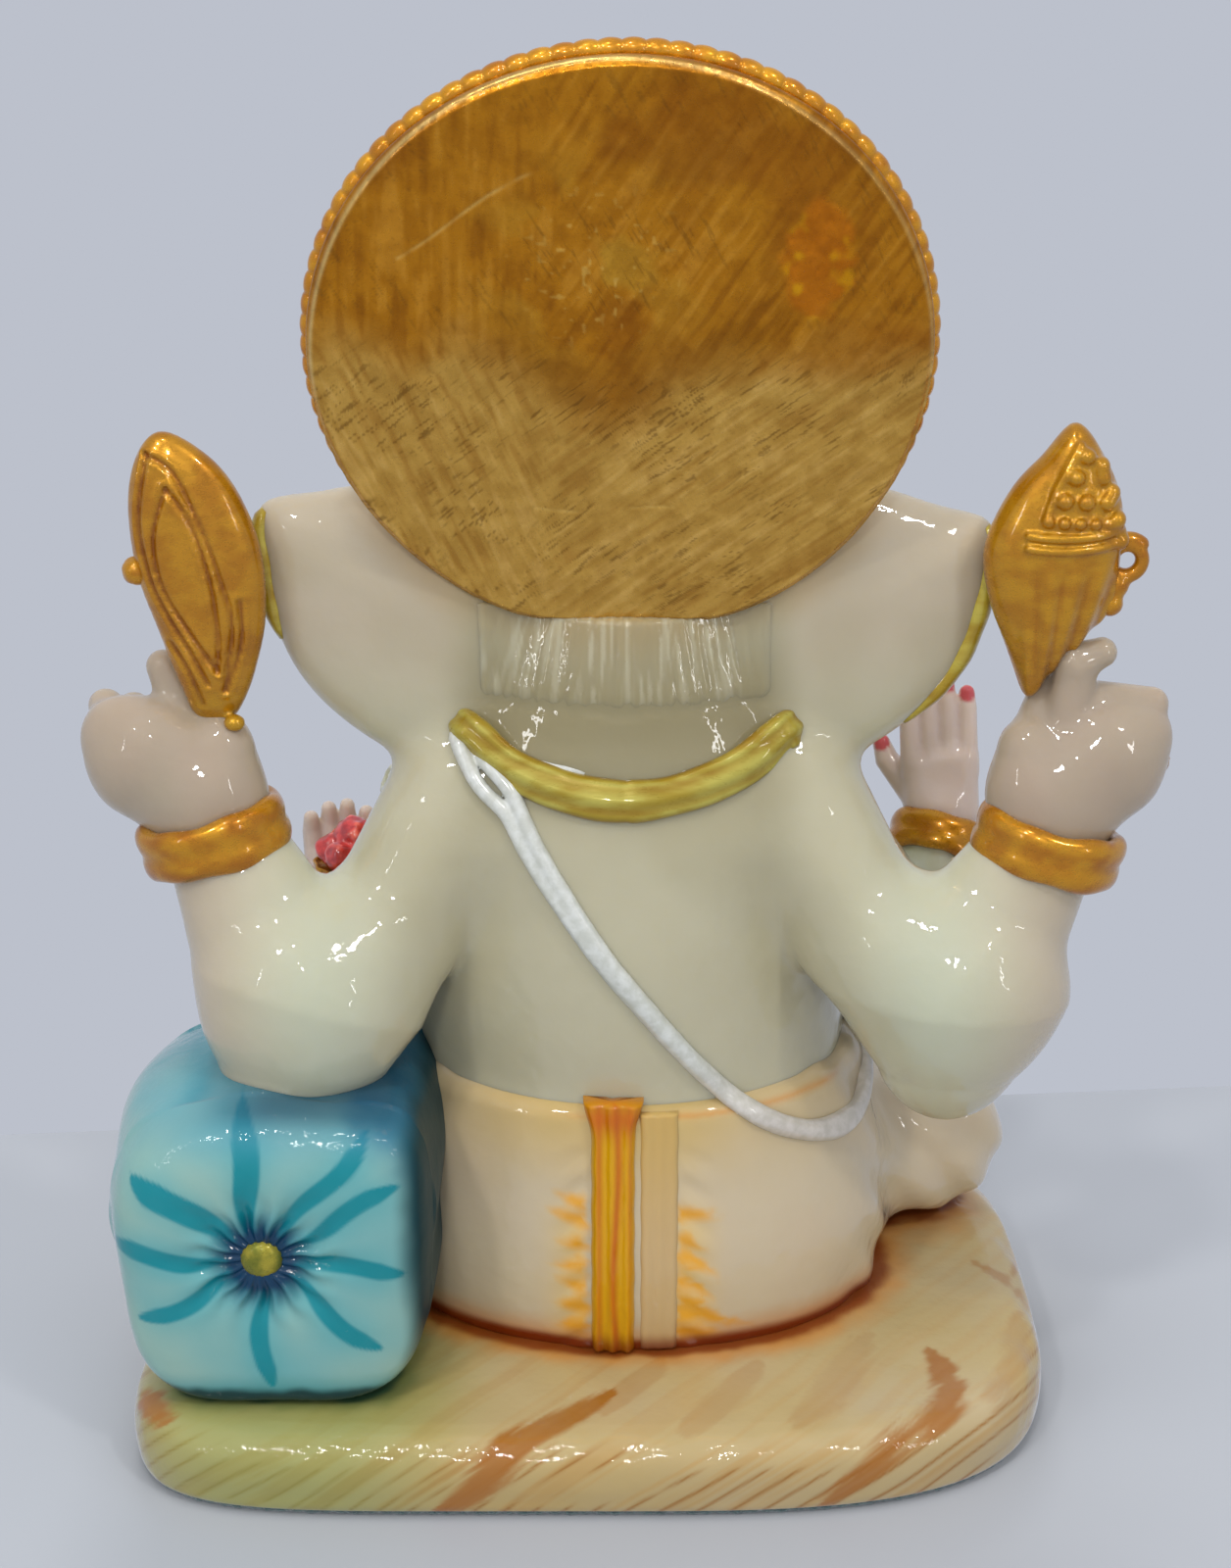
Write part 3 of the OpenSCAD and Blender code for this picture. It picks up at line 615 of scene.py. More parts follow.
def resin(name, depth, weight, ripple=0.09, shine=1.45, sparkle=0.0, matte=False):
    """Cast translucent resin under a wet-looking clear coat; its colour is the paint attribute."""
    n = Nodes(name)
    tone = n.curve(n.noise(9, 4), 0.3, 0.75)
    colour = n.mix(n.math("MULTIPLY", tone, 0.12), n.attribute("paint"), (0.9, 0.84, 0.7), "MULTIPLY")
    specks = n.curve(n.noise(0.9, 2), 0.74, 0.82)
    colour = n.mix(n.math("MULTIPLY", specks, 0.12), colour, (0.45, 0.34, 0.2))
    cast = n.noise(7, 2)
    coat = n.math("SUBTRACT", 1.0, n.attribute("matte", "Fac")) if matte else 1.0
    coat_bumps = n.bumps((cast, 0.45), (n.noise(2.6, 2), ripple), (n.noise(0.9, 2), sparkle))
    return n.shade(colour, 0.4, n.bumps((cast, 0.2), (n.noise(0.7, 3), 0.015)), Coat_Normal=coat_bumps,
                   Specular_IOR_Level=0.15, Subsurface_Weight=weight, Subsurface_Scale=1.0,
                   Subsurface_Radius=(depth * MM, depth * 0.85 * MM, depth * 0.55 * MM),
                   Coat_Weight=coat, Coat_Roughness=0.02, Coat_IOR=shine)


def gold_paint(name, light, dark, stroke=(1, 1, 1), flecks=0.3, rough=0.34, metal=0.7, relief=0.025, coat=0.3):
    """Brushed-on metallic paint: streaks of light and dark, dark flecks where the brush skipped."""
    n = Nodes(name)
    streaks = n.noise(3.0, 3, stroke, 0.5)
    hairs = n.noise(0.8, 4, stroke, 0.7)
    colour = n.mix(n.curve(streaks, 0.36, 0.62), dark, light)
    colour = n.mix(n.math("MULTIPLY", n.curve(hairs, 0.56, 0.7), flecks), colour, np.array(dark) * 0.35)
    tinted = n.mix(1.0, colour, n.attribute("paint"), "MULTIPLY")
    roughness = n.curve(hairs, 0.35, 0.7, rough - 0.08, rough + 0.14)
    return n.shade(tinted, roughness, n.bumps((streaks, relief * 2), (hairs, relief)), Metallic=metal,
                   Specular_IOR_Level=0.2, Coat_Weight=coat, Coat_Roughness=0.06, Coat_IOR=1.4)


def gloss_paint(name, light, dark):
    """Thick gloss paint with brush marks."""
    n = Nodes(name)
    colour = n.mix(n.curve(n.noise(1.6, 4), 0.35, 0.68), dark, light)
    colour = n.mix(1.0, colour, n.attribute("paint"), "MULTIPLY")
    return n.shade(colour, 0.3, n.bumps((n.noise(0.9, 3), 0.06)), Coat_Weight=1.0, Coat_Roughness=0.06)


def eye_paint(name):
    """Wet-looking paint whose colour is the paint attribute."""
    n = Nodes(name)
    share = n.math("MULTIPLY", n.noise(0.8, 3), 0.25)
    colour = n.mix(share, n.attribute("paint"), (0.5, 0.4, 0.3), "MULTIPLY")
    return n.shade(colour, 0.22, n.bumps((n.noise(0.6, 2), 0.03)), Coat_Weight=1.0, Coat_Roughness=0.03)


def felt(name):
    n = Nodes(name)
    fibres = n.noise(0.35, 5)
    colour = n.mix(n.curve(fibres, 0.3, 0.7), (0.006, 0.03, 0.033), (0.03, 0.1, 0.1))
    return n.shade(colour, 0.95, n.bumps((fibres, 0.3)), Sheen_Weight=0.5, Sheen_Roughness=0.6)


# each look is a material and the name of a slot in the record
SKIN = resin("cream_resin", 4.0, 0.55), "cream_resin"
CLOTH = resin("dhoti_resin", 2.0, 0.35), "dhoti_resin"
MARBLE = resin("veined_resin", 1.2, 0.12, 0.12, 1.45, 0.07), "veined_resin"
AQUA = resin("turquoise_resin", 0.5, 0.03, 0.2, 1.32, 0.07, matte=True), "turquoise_resin"
PLEAT = resin("pleat_resin", 0.8, 0.12, 0.2, 1.36), "orange_gold_paint"
GOLD = gold_paint("gold_paint", (0.52, 0.28, 0.03), (0.34, 0.15, 0.01), (1, 1, 0.35)), "gold_paint"
CLEAR_GOLD = gold_paint("clear_gold_paint", (0.4, 0.345, 0.058), (0.3, 0.21, 0.01), (0.3, 1, 1), flecks=0.06,
                        metal=0.15, relief=0.01, coat=1.0), "gold_paint"
OLIVE = gold_paint("olive_gold_paint", (0.36, 0.3, 0.035), (0.16, 0.17, 0.02), metal=0.4), "gold_paint"
ORANGE_GOLD = gold_paint("orange_gold_paint", (0.45, 0.215, 0.008), (0.37, 0.155, 0.004), (0.6, 0.6, 1),
                         flecks=0.1, rough=0.3, metal=0.5, relief=0.012, coat=0.8), "orange_gold_paint"
PLATE_GOLD = gold_paint("plate_gold_paint", (1.0, 1.0, 1.0), (0.84, 0.8, 0.72), flecks=0.22, metal=0.82,
                        relief=0.04, coat=0.12), "orange_gold_paint"
WHITE = gloss_paint("white_paint", (0.6, 0.6, 0.58), (0.5, 0.5, 0.46)), "white_paint"
RED = gloss_paint("red_paint", (0.62, 0.04, 0.03), (0.33, 0.01, 0.01)), "red_paint"
EYE = eye_paint("eye_paint"), "black_paint"
FELT = felt("felt"), "felt"

CREAM, BLUSH = srgb(182, 176, 149), srgb(180, 166, 144)
SHADE_AND_TONE, PEACH = srgb(146, 136, 98), srgb(192, 174, 146)
STAIN, RUST, TEAL_SHADE = srgb(196, 120, 8), srgb(120, 42, 0), srgb(4, 52, 60)


def worn(mesh, seed):
    """Tint of gold paint that is darker and redder in streaks."""
    streak = cloud(mesh[0] * array(1, 1, 2.2), 2.4, seed)
    return mixed(array(1.15, 1.1, 0.9), array(0.85, 0.55, 0.2), 0.5 * ramp(streak, 0.4, 0.75))


def gild(name, mesh, look, seed, *nodes, gain=1.0):
    build(name, mesh, look, gain * worn(mesh, seed), *nodes)


# ---------- the crown plate's own axes ----------

LEAN = math.radians(16)
PLATE_OUT = array(0, math.cos(LEAN), -math.sin(LEAN))       # out of its back face, a little downwards
PLATE_UP = array(0, math.sin(LEAN), math.cos(LEAN))
PLATE_C = at_figure(0.7, 20.8, 158.9)
PLATE_R = (high("crown_plate")[0] - low("crown_plate")[0]) / 2
CHIN = 38.6                     # from the plate's middle down to its flat lower edge


def on_plate(u, v, w):
    """Point at u to the figure's left, v up the plate and w out of its back face."""
    return PLATE_C + u[..., None] * array(1, 0, 0) + v[..., None] * PLATE_UP + w[..., None] * PLATE_OUT


def plate_places(p):
    """u, v and w of points."""
    q = p - PLATE_C
    return q[:, 0], q @ PLATE_UP, q @ PLATE_OUT


def behind_room(p):
    """Negative in front of the plate's back face and straight behind it: what meets the plate stops there."""
    u, v, w = plate_places(p)
    return np.maximum(np.maximum(np.hypot(u, v) - PLATE_R + 0.5, -CHIN + 0.8 - v), -3.5 - w)


def behind_plate(p, depth=3.0):
    """Points moved forward so that nothing comes out of the plate's back face."""
    over = np.maximum(plate_places(p)[2] + depth, 0)
    return p - over[:, None] * PLATE_OUT


# ---------- the figure's forms ----------

def figure_run(*rows):
    """Column rows of x from the middle plane, y, z and two half widths, made smooth."""
    run = smooth_path(rows, 6)
    run[:, 0] += MID
    return run


torso_run = figure_run((-0.7, -7, 46, 34, 28), (-0.5, -9, 52, 33.6, 28.2), (0, -9.5, 62, 33.4, 29.8),
                       (0, -7, 73, 31, 28), (0, -2.5, 83, 28.5, 23.2), (0, 1, 91, 28.5, 18.8),
                       (0, 2, 97, 27, 15.8), (0, 2, 101, 24.6, 14), (0, 1.5, NECK + 2, 23, 13))
hips_run = figure_run((-1.5, -5, SEAT - 2, 38, 26), (-1.5, -4, 18, 39.2, 27.4), (-1.5, -4, 28, 39.5, 27.8),
                      (-1, -5.5, 40, 38, 28), (-1, -7.5, 49, 35.8, 28.8), (-1, -8, WAIST, 34.8, 28.8))
head_run = figure_run((0, 1.5, NECK - 3, 23, 13.2), (0, -1, 110, 23.6, 15.8), (0, -5.6, 119, 23.8, 17.9),
                      (0, -8.8, 129, 23.6, 18.7), (0, -8, 138, 22.8, 19), (0, -6, CROWN + 2, 21, 18))


def on_run(run, z, bearing, out=0.0):
    """Point on a column at a height and a bearing in degrees: 0 is the figure's left, 90 its back."""
    x, y, w, d = at_height(run, z)
    a = np.radians(bearing)
    return np.stack([x + (w + out) * np.cos(a), y + (d + out) * np.sin(a), z + 0 * a], -1)


def rough(depth, size, seed):
    """Relief of soft lumps, in millimetres, for a model."""
    def relief(p):
        return depth * drift(p, size, seed, 1)
    return relief


uneven = rough(0.32, 13, 5)     # the slight waviness of a hand-finished casting
WRISTS = {1: array(57.4, 13, 90.8), -1: array(59, 13, 89.4)}
ELBOWS = {1: array(45.4, 17.6, 68.4), -1: array(47.2, 15.5, 68.6)}
ELBOW_TIPS = {1: array(48.8, 20, 57), -1: array(46.6, 16, 56.4)}


def rear_arm(side):
    """Upper arm, wide flat elbow and forearm."""
    shoulder, crook, elbow = (24, 5, 96.5), (34.6, 12, 76.5), ELBOWS[side]
    return on_side(side, [bone(shoulder, crook, 9.6, 9.8, 5),
                          bone(crook, elbow, 9.8, 14.6, 2.5, 0.82),
                          bone(elbow, ELBOW_TIPS[side], 14.6, 7.4, 8.0, 0.82),
                          bone((47.4, elbow[1], 69), WRISTS[side], 13.6, 8.2, 1.6, 0.82)])


EAR_C = (27, 121)
ear_edge = smooth_path(array([17, 138], [30, 140.2], [42, 139.6], [50.6, 138], [51.4, 130], [50, 121],
                             [46.8, 113], [41.2, 106.4], [33.4, 101], [24, 98.6], [16, 104], [14, 120]),
                       6, True)
ear_drop = array(0, 1) * (ramp(ear_edge[:, 0], 30, 50) * ramp(ear_edge[:, 1], 124, 138))[:, None]
EAR_EDGES = {1: ear_edge - 1.0 * ear_drop, -1: ear_edge - 3.4 * ear_drop}


def trunk():
    """The trunk, curled to the figure's left, with faint wrinkles round it; rows end in its radius."""
    path = smooth_path(array([0, -21, 128, 10.5], [0, -29, 119, 9.6], [0.5, -34, 108, 8.2], [3, -37, 97, 7.2],
                             [9, -38.5, 88, 6.4], [18, -39, 81.5, 5.6], [27, -38.5, 78.6, 4.9],
                             [33.5, -37.6, 79.6, 4.2], [36.6, -37, 81, 3.6]), 8)
    wrinkles = 0.22 * np.sin(np.arange(len(path)) * 2.1)
    return chain(path[:, :3] + array(MID, 0, 0), path[:, 3] + wrinkles, 3.5)


def both_sides(shape):
    return [shape(side) for side in (-1, 1)]


body = [column(torso_run), column(head_run, 7.0)]
body += both_sides(lambda s: bone((s * 13, 4, 88), (s * 15, 5, 92), 11, 10, 6))                  # shoulders
body += rear_arm(1) + rear_arm(-1)
body += both_sides(lambda s: bulge((s * 12, -19, 89), (13, 9, 9), 6))                            # breast
body += [pillow(EAR_EDGES[side], 3, 7.4, 4.6, EAR_C, 4.0, side, 2.3) for side in (1, -1)]
body += both_sides(lambda s: bone((s * 8.5, -18.5, 135.2), (s * 8.5, -18.5, 132), 8.4, 8.4, 4))  # brow
body += both_sides(lambda s: bone((s * 11, -18, 121), (s * 11.5, -18, 119), 8.6, 8, 4))          # cheeks
for shoulder, elbow, wrist in (((24, -3, 93), (43, -15, 61), (45, -25.5, 61.6)),
                               ((-24, -3, 93), (-45, -14, 62), (-49.8, -23.5, 75.5))):
    body += [bone(shoulder, elbow, 8.6, 8.2, 4), bone(elbow, wrist, 8.2, 6.2, 2)]                # front arms
body += [trunk()]
# hollows: the spine, below each shoulder blade, the eye sockets, the trunk's nostril and the navel
body += [bone((0, 29, 92), (0, 33, 60), 5.5, 5.0, 7, cut=True)]
body += both_sides(lambda s: bulge((s * 22, 27, 79), (6, 6, 10), 8, cut=True))
body += both_sides(lambda s: bulge((s * 15, -28.5, 128.5), (5, 3.6, 3.4), 2.5, cut=True, turn=s * 32))
body += [bulge((39.6, -36.6, 82.4), (1.8, 1.6, 1.6), 0.8, cut=True)]
body += [bulge((0, -40.6, 62), (1.6, 2.2, 2), 1.2, cut=True)]
body += [Lump(behind_room, PLATE_C - PLATE_R, PLATE_C + PLATE_R, 0.6, cut=True)]


def body_paint(points):
    """Cream, greener on the arms, rosier on the ears and wrists, with painted shade in the nape under the
    crown plate and in the hollows below the shoulder blades, a painted reflection of the gold plate just below
    it and random darker patches.
    """
    x, y, z = points.T
    aside = np.abs(x - MID)
    blush = np.maximum(ramp(aside, 44, 62), 0.8 * ramp(z, 104, 124) * ramp(aside, 17, 27))
    paint = mixed(CREAM, BLUSH, blush)
    paint = mixed(paint, srgb(180, 186, 165), 0.7 * bump(aside, 42, 10) * bump(z, 72, 22))
    # painted reflection: ochre of the gold plate on the nape just below it
    u, v, _ = plate_places(points)
    off_plate = np.maximum(np.hypot(u, v) - PLATE_R, -CHIN - v)
    paint = mixed(paint, srgb(160, 128, 66), 0.5 * ramp(off_plate, 6, 0) * ramp(y, 2, 10))
    # painted shade: the nape darkened under the crown plate
    nape = bump(z, NECK + 6, 14) * ramp(27 - aside, 0, 9) * ramp(y, 4, 10)
    paint = mixed(paint, srgb(128, 117, 80), 0.85 * nape)
    # painted shade in the hollows below the shoulder blades
    paint = mixed(paint, SHADE_AND_TONE, ramp(y, 5, 20) * 0.3 * bump(aside, 24, 8) * bump(z, 74, 16))
    # random darker patches of tone, in the same colour
    return mixed(paint, SHADE_AND_TONE, 0.2 * ramp(cloud(points, 15, 6), 0.5, 0.75))


def make_body():
    mesh = model(body, 0.8, uneven)
    build("body", mesh, SKIN, body_paint(mesh[0]), "torso", "head", "ear_left", "ear_right",
          "rear_arm_left", "rear_arm_right", "front_arm_left", "front_arm_right", "trunk")


# ---------- hair combed down the nape in fine strands that fade out at its edges ----------

def strand_noise(p, wide, long, seed):
    """Noise in strands that run up and down the nape."""
    bearing = np.arctan2(p[:, 1] + 6, p[:, 0] - MID)
    return cloud(np.stack([bearing * 23 / wide, 0 * bearing, p[:, 2] / long], 1), 1.0, seed, 2)


def hair_edge(p):
    """1 well inside the combed part and 0 at its sides and its lower edge."""
    return ramp(np.abs(p[:, 0] - MID), 23.4, 19.5) * ramp(p[:, 2], NECK + 1.5, NECK + 9)


def strands(p):
    """Height of the strands over the body; at the edges they sink just under its surface."""
    edge = hair_edge(p)
    return uneven(p) + 0.1 + (0.34 * (strand_noise(p, 0.8, 9, 8) - 0.5) + 0.05) * edge - 1.1 * (1 - edge)


def make_hair():
    lowest, highest = at_figure(-24, 4, NECK + 1), at_figure(24, 24, 125)

    def field(p):
        outside = np.max(np.maximum(lowest + 0.3 - p, p - highest + 0.3), axis=1)
        shell = np.maximum(shaped(body, strands)(p), -clay(body, p) - 1.6)
        return np.maximum(shell, outside)
    mesh = surface(field, lowest, highest, 0.34)
    points = mesh[0]
    lower_end = ramp(points[:, 2] + 14 * (strand_noise(points, 0.7, 60, 11) - 0.5), NECK + 3, NECK + 17)
    light = ramp(strand_noise(points, 0.7, 7, 10), 0.5, 0.72) * hair_edge(points) ** 2 * lower_end
    build("combed_hair", mesh, SKIN, mixed(body_paint(points), srgb(200, 196, 172), 0.38 * light), "hair")


# ---------- hands ----------

def fist(side):
    """Closed fist from its wrist up, fingers folded to the front."""
    w = WRISTS[side]
    lumps = [bone(w, w + array(3, -0.5, 6), 7.6, 7.4, 2, 0.82),
             bone((59.5, 12.5, 97.5), (67, 11.5, 102.6), 8.6, 8.8, 3, 0.75),
             bone((68.6, 11, 100.6), (71.4, 10.5, 105.8), 6.2, 5.2, 2.5, 0.8),
             bone((57.4, 11.5, 98), (56.6, 11.5, 104.4), 5.4, 4.2, 2.5, 0.9)]
    for i in range(4):
        knuckle = array(74.2 - 3.9 * i, 5, 108.3 - 0.6 * i)
        tip = array(72.6 - 3.9 * i, 3.6, 101 + 0.3 * i)
        lumps.append(bone(knuckle, tip, 2.2, 2.1, 0.7))
        lumps.append(bone(knuckle + array(-1.2, 5.5, -1.2), knuckle, 2.5, 2.2, 0.9))
    lumps.append(bone((64, 3.4, 101), (69, 2.6, 103.4), 2.3, 2.0, 0.5))
    return on_side(side, lumps)


def hand_paint(p):
    return mixed(srgb(160, 148, 127), srgb(164, 145, 126), cloud(p, 9, 11))


def make_fists():
    raised = {1: [bone((62, 9, 108), (65, 8, 115), 3.4, 2.4, 1.5),
                  bone((57, 10.5, 106), (59, 8, 111), 3.0, 2.2, 1.5)],
              -1: [bone((-62, 11, 108), (-62.5, 11, 116), 3.6, 3.0, 1.2),
                   bone((-62.5, 11, 116.5), (-66, 11, 118), 3.0, 2.2, 1.0),
                   bone((-66, 10, 110), (-73.8, 9.5, 110), 3.5, 2.4, 0.9),
                   bone((-58, 9.5, 107), (-59.5, 8, 112.5), 3.2, 2.4, 1.2)]}
    for side, name in SIDES:
        mesh = model(fist(side) + raised[side], 0.55, rough(0.25, 6, 7))
        build("fist_" + name, mesh, SKIN, hand_paint(mesh[0]), "rear_hand_" + name)


def spun(p, axis, degrees):
    """Points turned about the axis of that number, from the next axis towards the one after."""
    c, s = math.cos(math.radians(degrees)), math.sin(math.radians(degrees))
    i, j = (axis + 1) % 3, (axis + 2) % 3
    out = np.array(p, float)
    out[..., i], out[..., j] = c * p[..., i] - s * p[..., j], s * p[..., i] + c * p[..., j]
    return out


def digits_of(curl):
    """Joints and radii of an open hand's digits: wrist at 0, fingers up, palm to the front, thumb to +X."""
    digits = []
    for i in range(4):
        lean = math.radians(1.6 * (i - 1.5))
        reach = 11.2 - 1.2 * abs(i - 1.6)
        p = array(-4.35 + 2.9 * i, 0, 11.4 - 0.35 * abs(i - 1.5))
        joints = [p - array(0, 0, 3), p]
        for share, bend in ((0.42, 1), (0.32, 2), (0.26, 3)):
            a = math.radians(curl * bend)
            way = array(math.sin(lean) * math.cos(a), -math.sin(a), math.cos(lean) * math.cos(a))
            p = p + share * reach * way
            joints.append(p)
        digits.append((np.array(joints), [1.75, 1.8, 1.62, 1.55, 1.25]))
    thumb = array([2.6, -0.8, 2.4], [4.6, -1.5, 4.8], [8, -2.6, 9.6], [8.8, -3.2, 12.4])
    return digits + [(thumb, [2.4, 2.3, 1.9, 1.4])]


def open_hand(curl, place):
    palm = [([0, 0, -3], [0, 0, 2], 4.4, 4.0, 2), ([-3.2, 0, 1.2], [-3.4, -0.3, 9.4], 2.9, 2.7, 2.2),
            ([0, 0.1, 0.6], [0, -0.2, 9.8], 2.9, 2.7, 2.2), ([3.0, 0, 1.2], [3.4, -0.3, 9.0], 2.9, 2.7, 2.2)]
    lumps = [limb(place(array(*a)), place(array(*b)), *sizes) for a, b, *sizes in palm]
    return lumps + [chain(place(joints), radii, 0.8) for joints, radii in digits_of(curl)]


def place_right(p):
    return spun(spun(p, 0, 6), 1, 3.44) + at_figure(-50.4, -25, 79.5)


def place_left(p):
    return spun(spun(p * array(-1, -1, 1), 0, 68), 2, 12) + at_figure(44.8, -27.4, 62)


def make_open_hands():
    """The right one shows its palm with a dot and painted finger tips; the left one holds the dish."""
    curl = 4
    mesh = model(open_hand(curl, place_right), 0.5)
    points = mesh[0]
    dot = ramp(length(points - place_right(array(0, -3, 6))), 2.9, 2.3)
    tips = np.zeros(len(points))
    for joints, _ in digits_of(curl):
        tip = place_right(joints[-1] + array(0, 0.9, 0.2))
        tips = np.maximum(tips, ramp(length((points - tip) * array(1, 1, 0.75)), 1.5, 1.1))
    paint = mixed(mixed(srgb(198, 180, 168), srgb(150, 10, 16), dot), srgb(176, 24, 50), 0.85 * tips)
    build("open_hand_right", mesh, SKIN, paint, "front_hand_right")
    mesh = model(open_hand(24, place_left), 0.5)
    paint = mixed(hand_paint(mesh[0]), srgb(204, 186, 180), 0.5)
    build("open_hand_left", mesh, SKIN, paint, "front_hand_left")


# ---------- dhoti, legs and feet ----------

def leg(side):
    return on_side(side, [bone((14, -8, 28), (49.5, -22.5, 25.5), 15.5, 13, 5),
                          bone((47, -25.5, 22.5), (15, -35.5, 20), 10.3, 7.4, 4)])


legs = leg(1) + leg(-1)
seat = column(hips_run, 0, 2.6)


def folds(p):
    """Soft creases: short ones beside the pleats at the back, sweeping folds over the thighs at the front."""
    x, y, z = p.T
    fan = 0.0
    for start, way in ((PLEAT_X + 3.4, 1), (BAND_X - 3.0, -1)):
        reach = way * (x - start)
        wave = np.sin((z - SEAT) * 1.25 + reach * 0.9)
        fan = fan + 0.2 * wave * ramp(reach, -1, 1.5) * ramp(reach, 7, 2)
    back_side = ramp(y, 4, 12)
    across = np.abs(x - MID)
    sweeping = 0.42 * np.sin(across * 0.55 + z * 0.5 - y * 0.25) * ramp(across, 16, 26)
    return fan * back_side * ramp(z, WAIST - 2, WAIST - 10) + sweeping * (1 - back_side) + uneven(p)


def brush_tip(reach, rise, long, fall, root):
    """Closeness to a stroke that starts at the pleats, root millimetres wide, and thins to nothing."""
    t = np.clip(reach / long, 0, 1)
    off = np.abs(rise + fall * np.maximum(reach, 0) * (0.4 + 0.6 * t))
    width = root * (1 - t) ** 0.8 + 0.12
    return ramp(off, width * 1.9 + 0.2, 0) * ramp(reach, long + 0.4, long * 0.3) * ramp(reach, -1.5, 0.2)


# rows of height over the seat, length, fall per millimetre and half width, on each side of the pleats
LEFT_STROKES = array([25.5, 4.6, -0.35, 1.0], [22.8, 5.6, -0.25, 1.1], [19.0, 4.6, -0.1, 1.0],
                     [15.6, 5.2, 0.1, 1.1], [12.0, 4.4, -0.3, 1.2], [8.6, 4.8, 0.0, 1.5], [5.0, 4.2, 0.2, 1.6])
RIGHT_STROKES = array([23.8, 6.4, 0.25, 1.1], [19.6, 4.4, 0.5, 1.0], [16.8, 6.4, 0.8, 1.2],
                      [13.0, 6.0, 0.9, 1.2], [9.4, 9.0, 0.75, 1.4], [7.0, 13.0, 0.42, 1.3],
                      [3.6, 8.0, 0.2, 1.3])


def dhoti_paint(points):
    """Peach cloth, golden at the waist, with flame-like strokes beside the pleats, stains at the seat and
    painted teal shade on the side next to the cushion.
    """
    x, y, z = points.T
    at_back = ramp(y, 2, 10)
    paint = mixed(PEACH, srgb(190, 178, 148), 0.7 * cloud(points, 14, 21))
    top_glow = ramp(z + 5 * drift(points, 7, 27), 36, WAIST - 1) * at_back
    near_pleats = 0.45 + 0.55 * ramp(np.abs(x - PLEAT_X), 26, 8)
    paint = mixed(paint, srgb(190, 158, 78), 0.7 * top_glow * near_pleats)
    ragged = 2.4 * drift(points * array(1, 1, 1.6), 1.8, 24)
    for start, way, strokes in ((PLEAT_X + 4.6, 1, LEFT_STROKES), (BAND_X - 3.2, -1, RIGHT_STROKES)):
        reach = way * (x - start)
        glow = ramp(reach, 8, 0) * ramp(reach, -1.5, 0.5) * ramp(z, SEAT + 29, SEAT + 20)
        paint = mixed(paint, srgb(210, 176, 92), 0.55 * at_back * glow)
        for height, long, fall, root in strokes:
            mark = brush_tip(reach + ragged, z - SEAT - height + 0.4 * ragged, long, fall, root)
            paint = mixed(paint, srgb(216, 152, 0), 0.9 * at_back * mark)
    streaky = cloud(points * array(0.35, 0.35, 1.6), 4, 22)
    paint = mixed(paint, STAIN, 0.8 * ramp(z, SEAT + 7, SEAT + 1) * (0.3 + 0.7 * streaky) * at_back)
    paint = mixed(paint, STAIN, 0.5 * ramp(z, SEAT + 4, SEAT + 1) * (1 - at_back))
    paint = mixed(paint, RUST, ramp(z + 1.5 * (streaky - 0.5), SEAT + 3.2, SEAT + 1.2))
    hem = bump(z - 0.6 * drift(points, 6, 28), WAIST - 1.6, 0.45) * ramp(x, PLEAT_X + 12, PLEAT_X - 2)
    paint = mixed(paint, STAIN, 0.45 * at_back * hem)
    # painted shade: dark teal on the side of the hips that faces the cushion
    left_edge = high("hips")[0]
    return mixed(paint, TEAL_SHADE, 0.85 * ramp(x, left_edge - 5, left_edge - 1) * ramp(y, -18, -10))


def make_dhoti():
    mesh = model([seat] + legs, 0.6, folds, SEAT - 0.4)
    build("dhoti", mesh, CLOTH, dhoti_paint(mesh[0]), "hips", "leg_left", "leg_right")


def foot(heel, ball_at, heel_r, ball_r):
    """Foot from heel to ball, with five toes."""
    heel, ball_at = array(*heel), array(*ball_at)
    way = unit(ball_at - heel)
    across = np.sign(way[0]) * unit(np.cross(way, array(0, 1, 0)))
    arch = (heel + ball_at) / 2 + array(0, 0.4, 0)
    lumps = [bone(heel, arch, heel_r, ball_r * 0.9, 2, 0.8), bone(arch, ball_at, ball_r * 0.9, ball_r, 2, 0.8)]
    for i in range(5):
        r = 1.45 - 0.13 * i
        aside = across * 0.46 * ball_r * (i - 1.9) + array(0, -0.6, 0)
        root = ball_at + way * (ball_r - 2.2 - 0.35 * i) + aside
        lumps.append(bone(root, root + way * (3.2 - 0.25 * i), r, r * 0.9, 0.7))
    return lumps


def make_feet():
    for name, lumps in (("foot_right", foot([-6, -35.5, 22.5], [9, -36.5, 27.5], 5.4, 4.6)),
                        ("foot_left", foot([5.5, -37.2, 17.6], [-12, -40.2, 17.8], 4.9, 4.2))):
        mesh = model(lumps, 0.45, None, SEAT - 0.2)
        paint = mixed(hand_paint(mesh[0]), srgb(176, 60, 50), 0.25 * ramp(mesh[0][:, 1], -38, -41))
        build("bare_" + name, mesh, SKIN, paint, name)


# ---------- pleats down the back of the dhoti ----------

def strip(x_at, half, top, proud, ridges, flare=0.0):
    """Upright strip of cloth from height top down the hips, ridged across, and wider at its top by flare."""
    bottom, thick = SEAT + 0.4, 3.0
    across = np.linspace(-1, 1, 33)
    edge = np.sqrt(np.maximum(1 - across ** 6, 0))
    sections = []
    for z in np.linspace(top, bottom, 90):
        share = (top - z) / (top - bottom)
        width = half * (1 + flare * bump(share, 0.0, 0.07))
        x, _, w, _ = at_height(hips_run, z)
        px = x_at + across * width + 0.05 * math.sin(z * 0.9)
        bearing = np.degrees(np.arccos(np.clip((px - x) / w, -1, 1)))
        swell = proud * (1 + 0.35 * flare * bump(share, 0.03, 0.06))
        front = on_run(hips_run, z, bearing, (swell + ridges * np.cos(across * 3 * math.pi)) * edge - 0.5)
        sections.append(np.vstack([front, front[::-1] - array(0, thick, 0)]))
    return capped(sections)


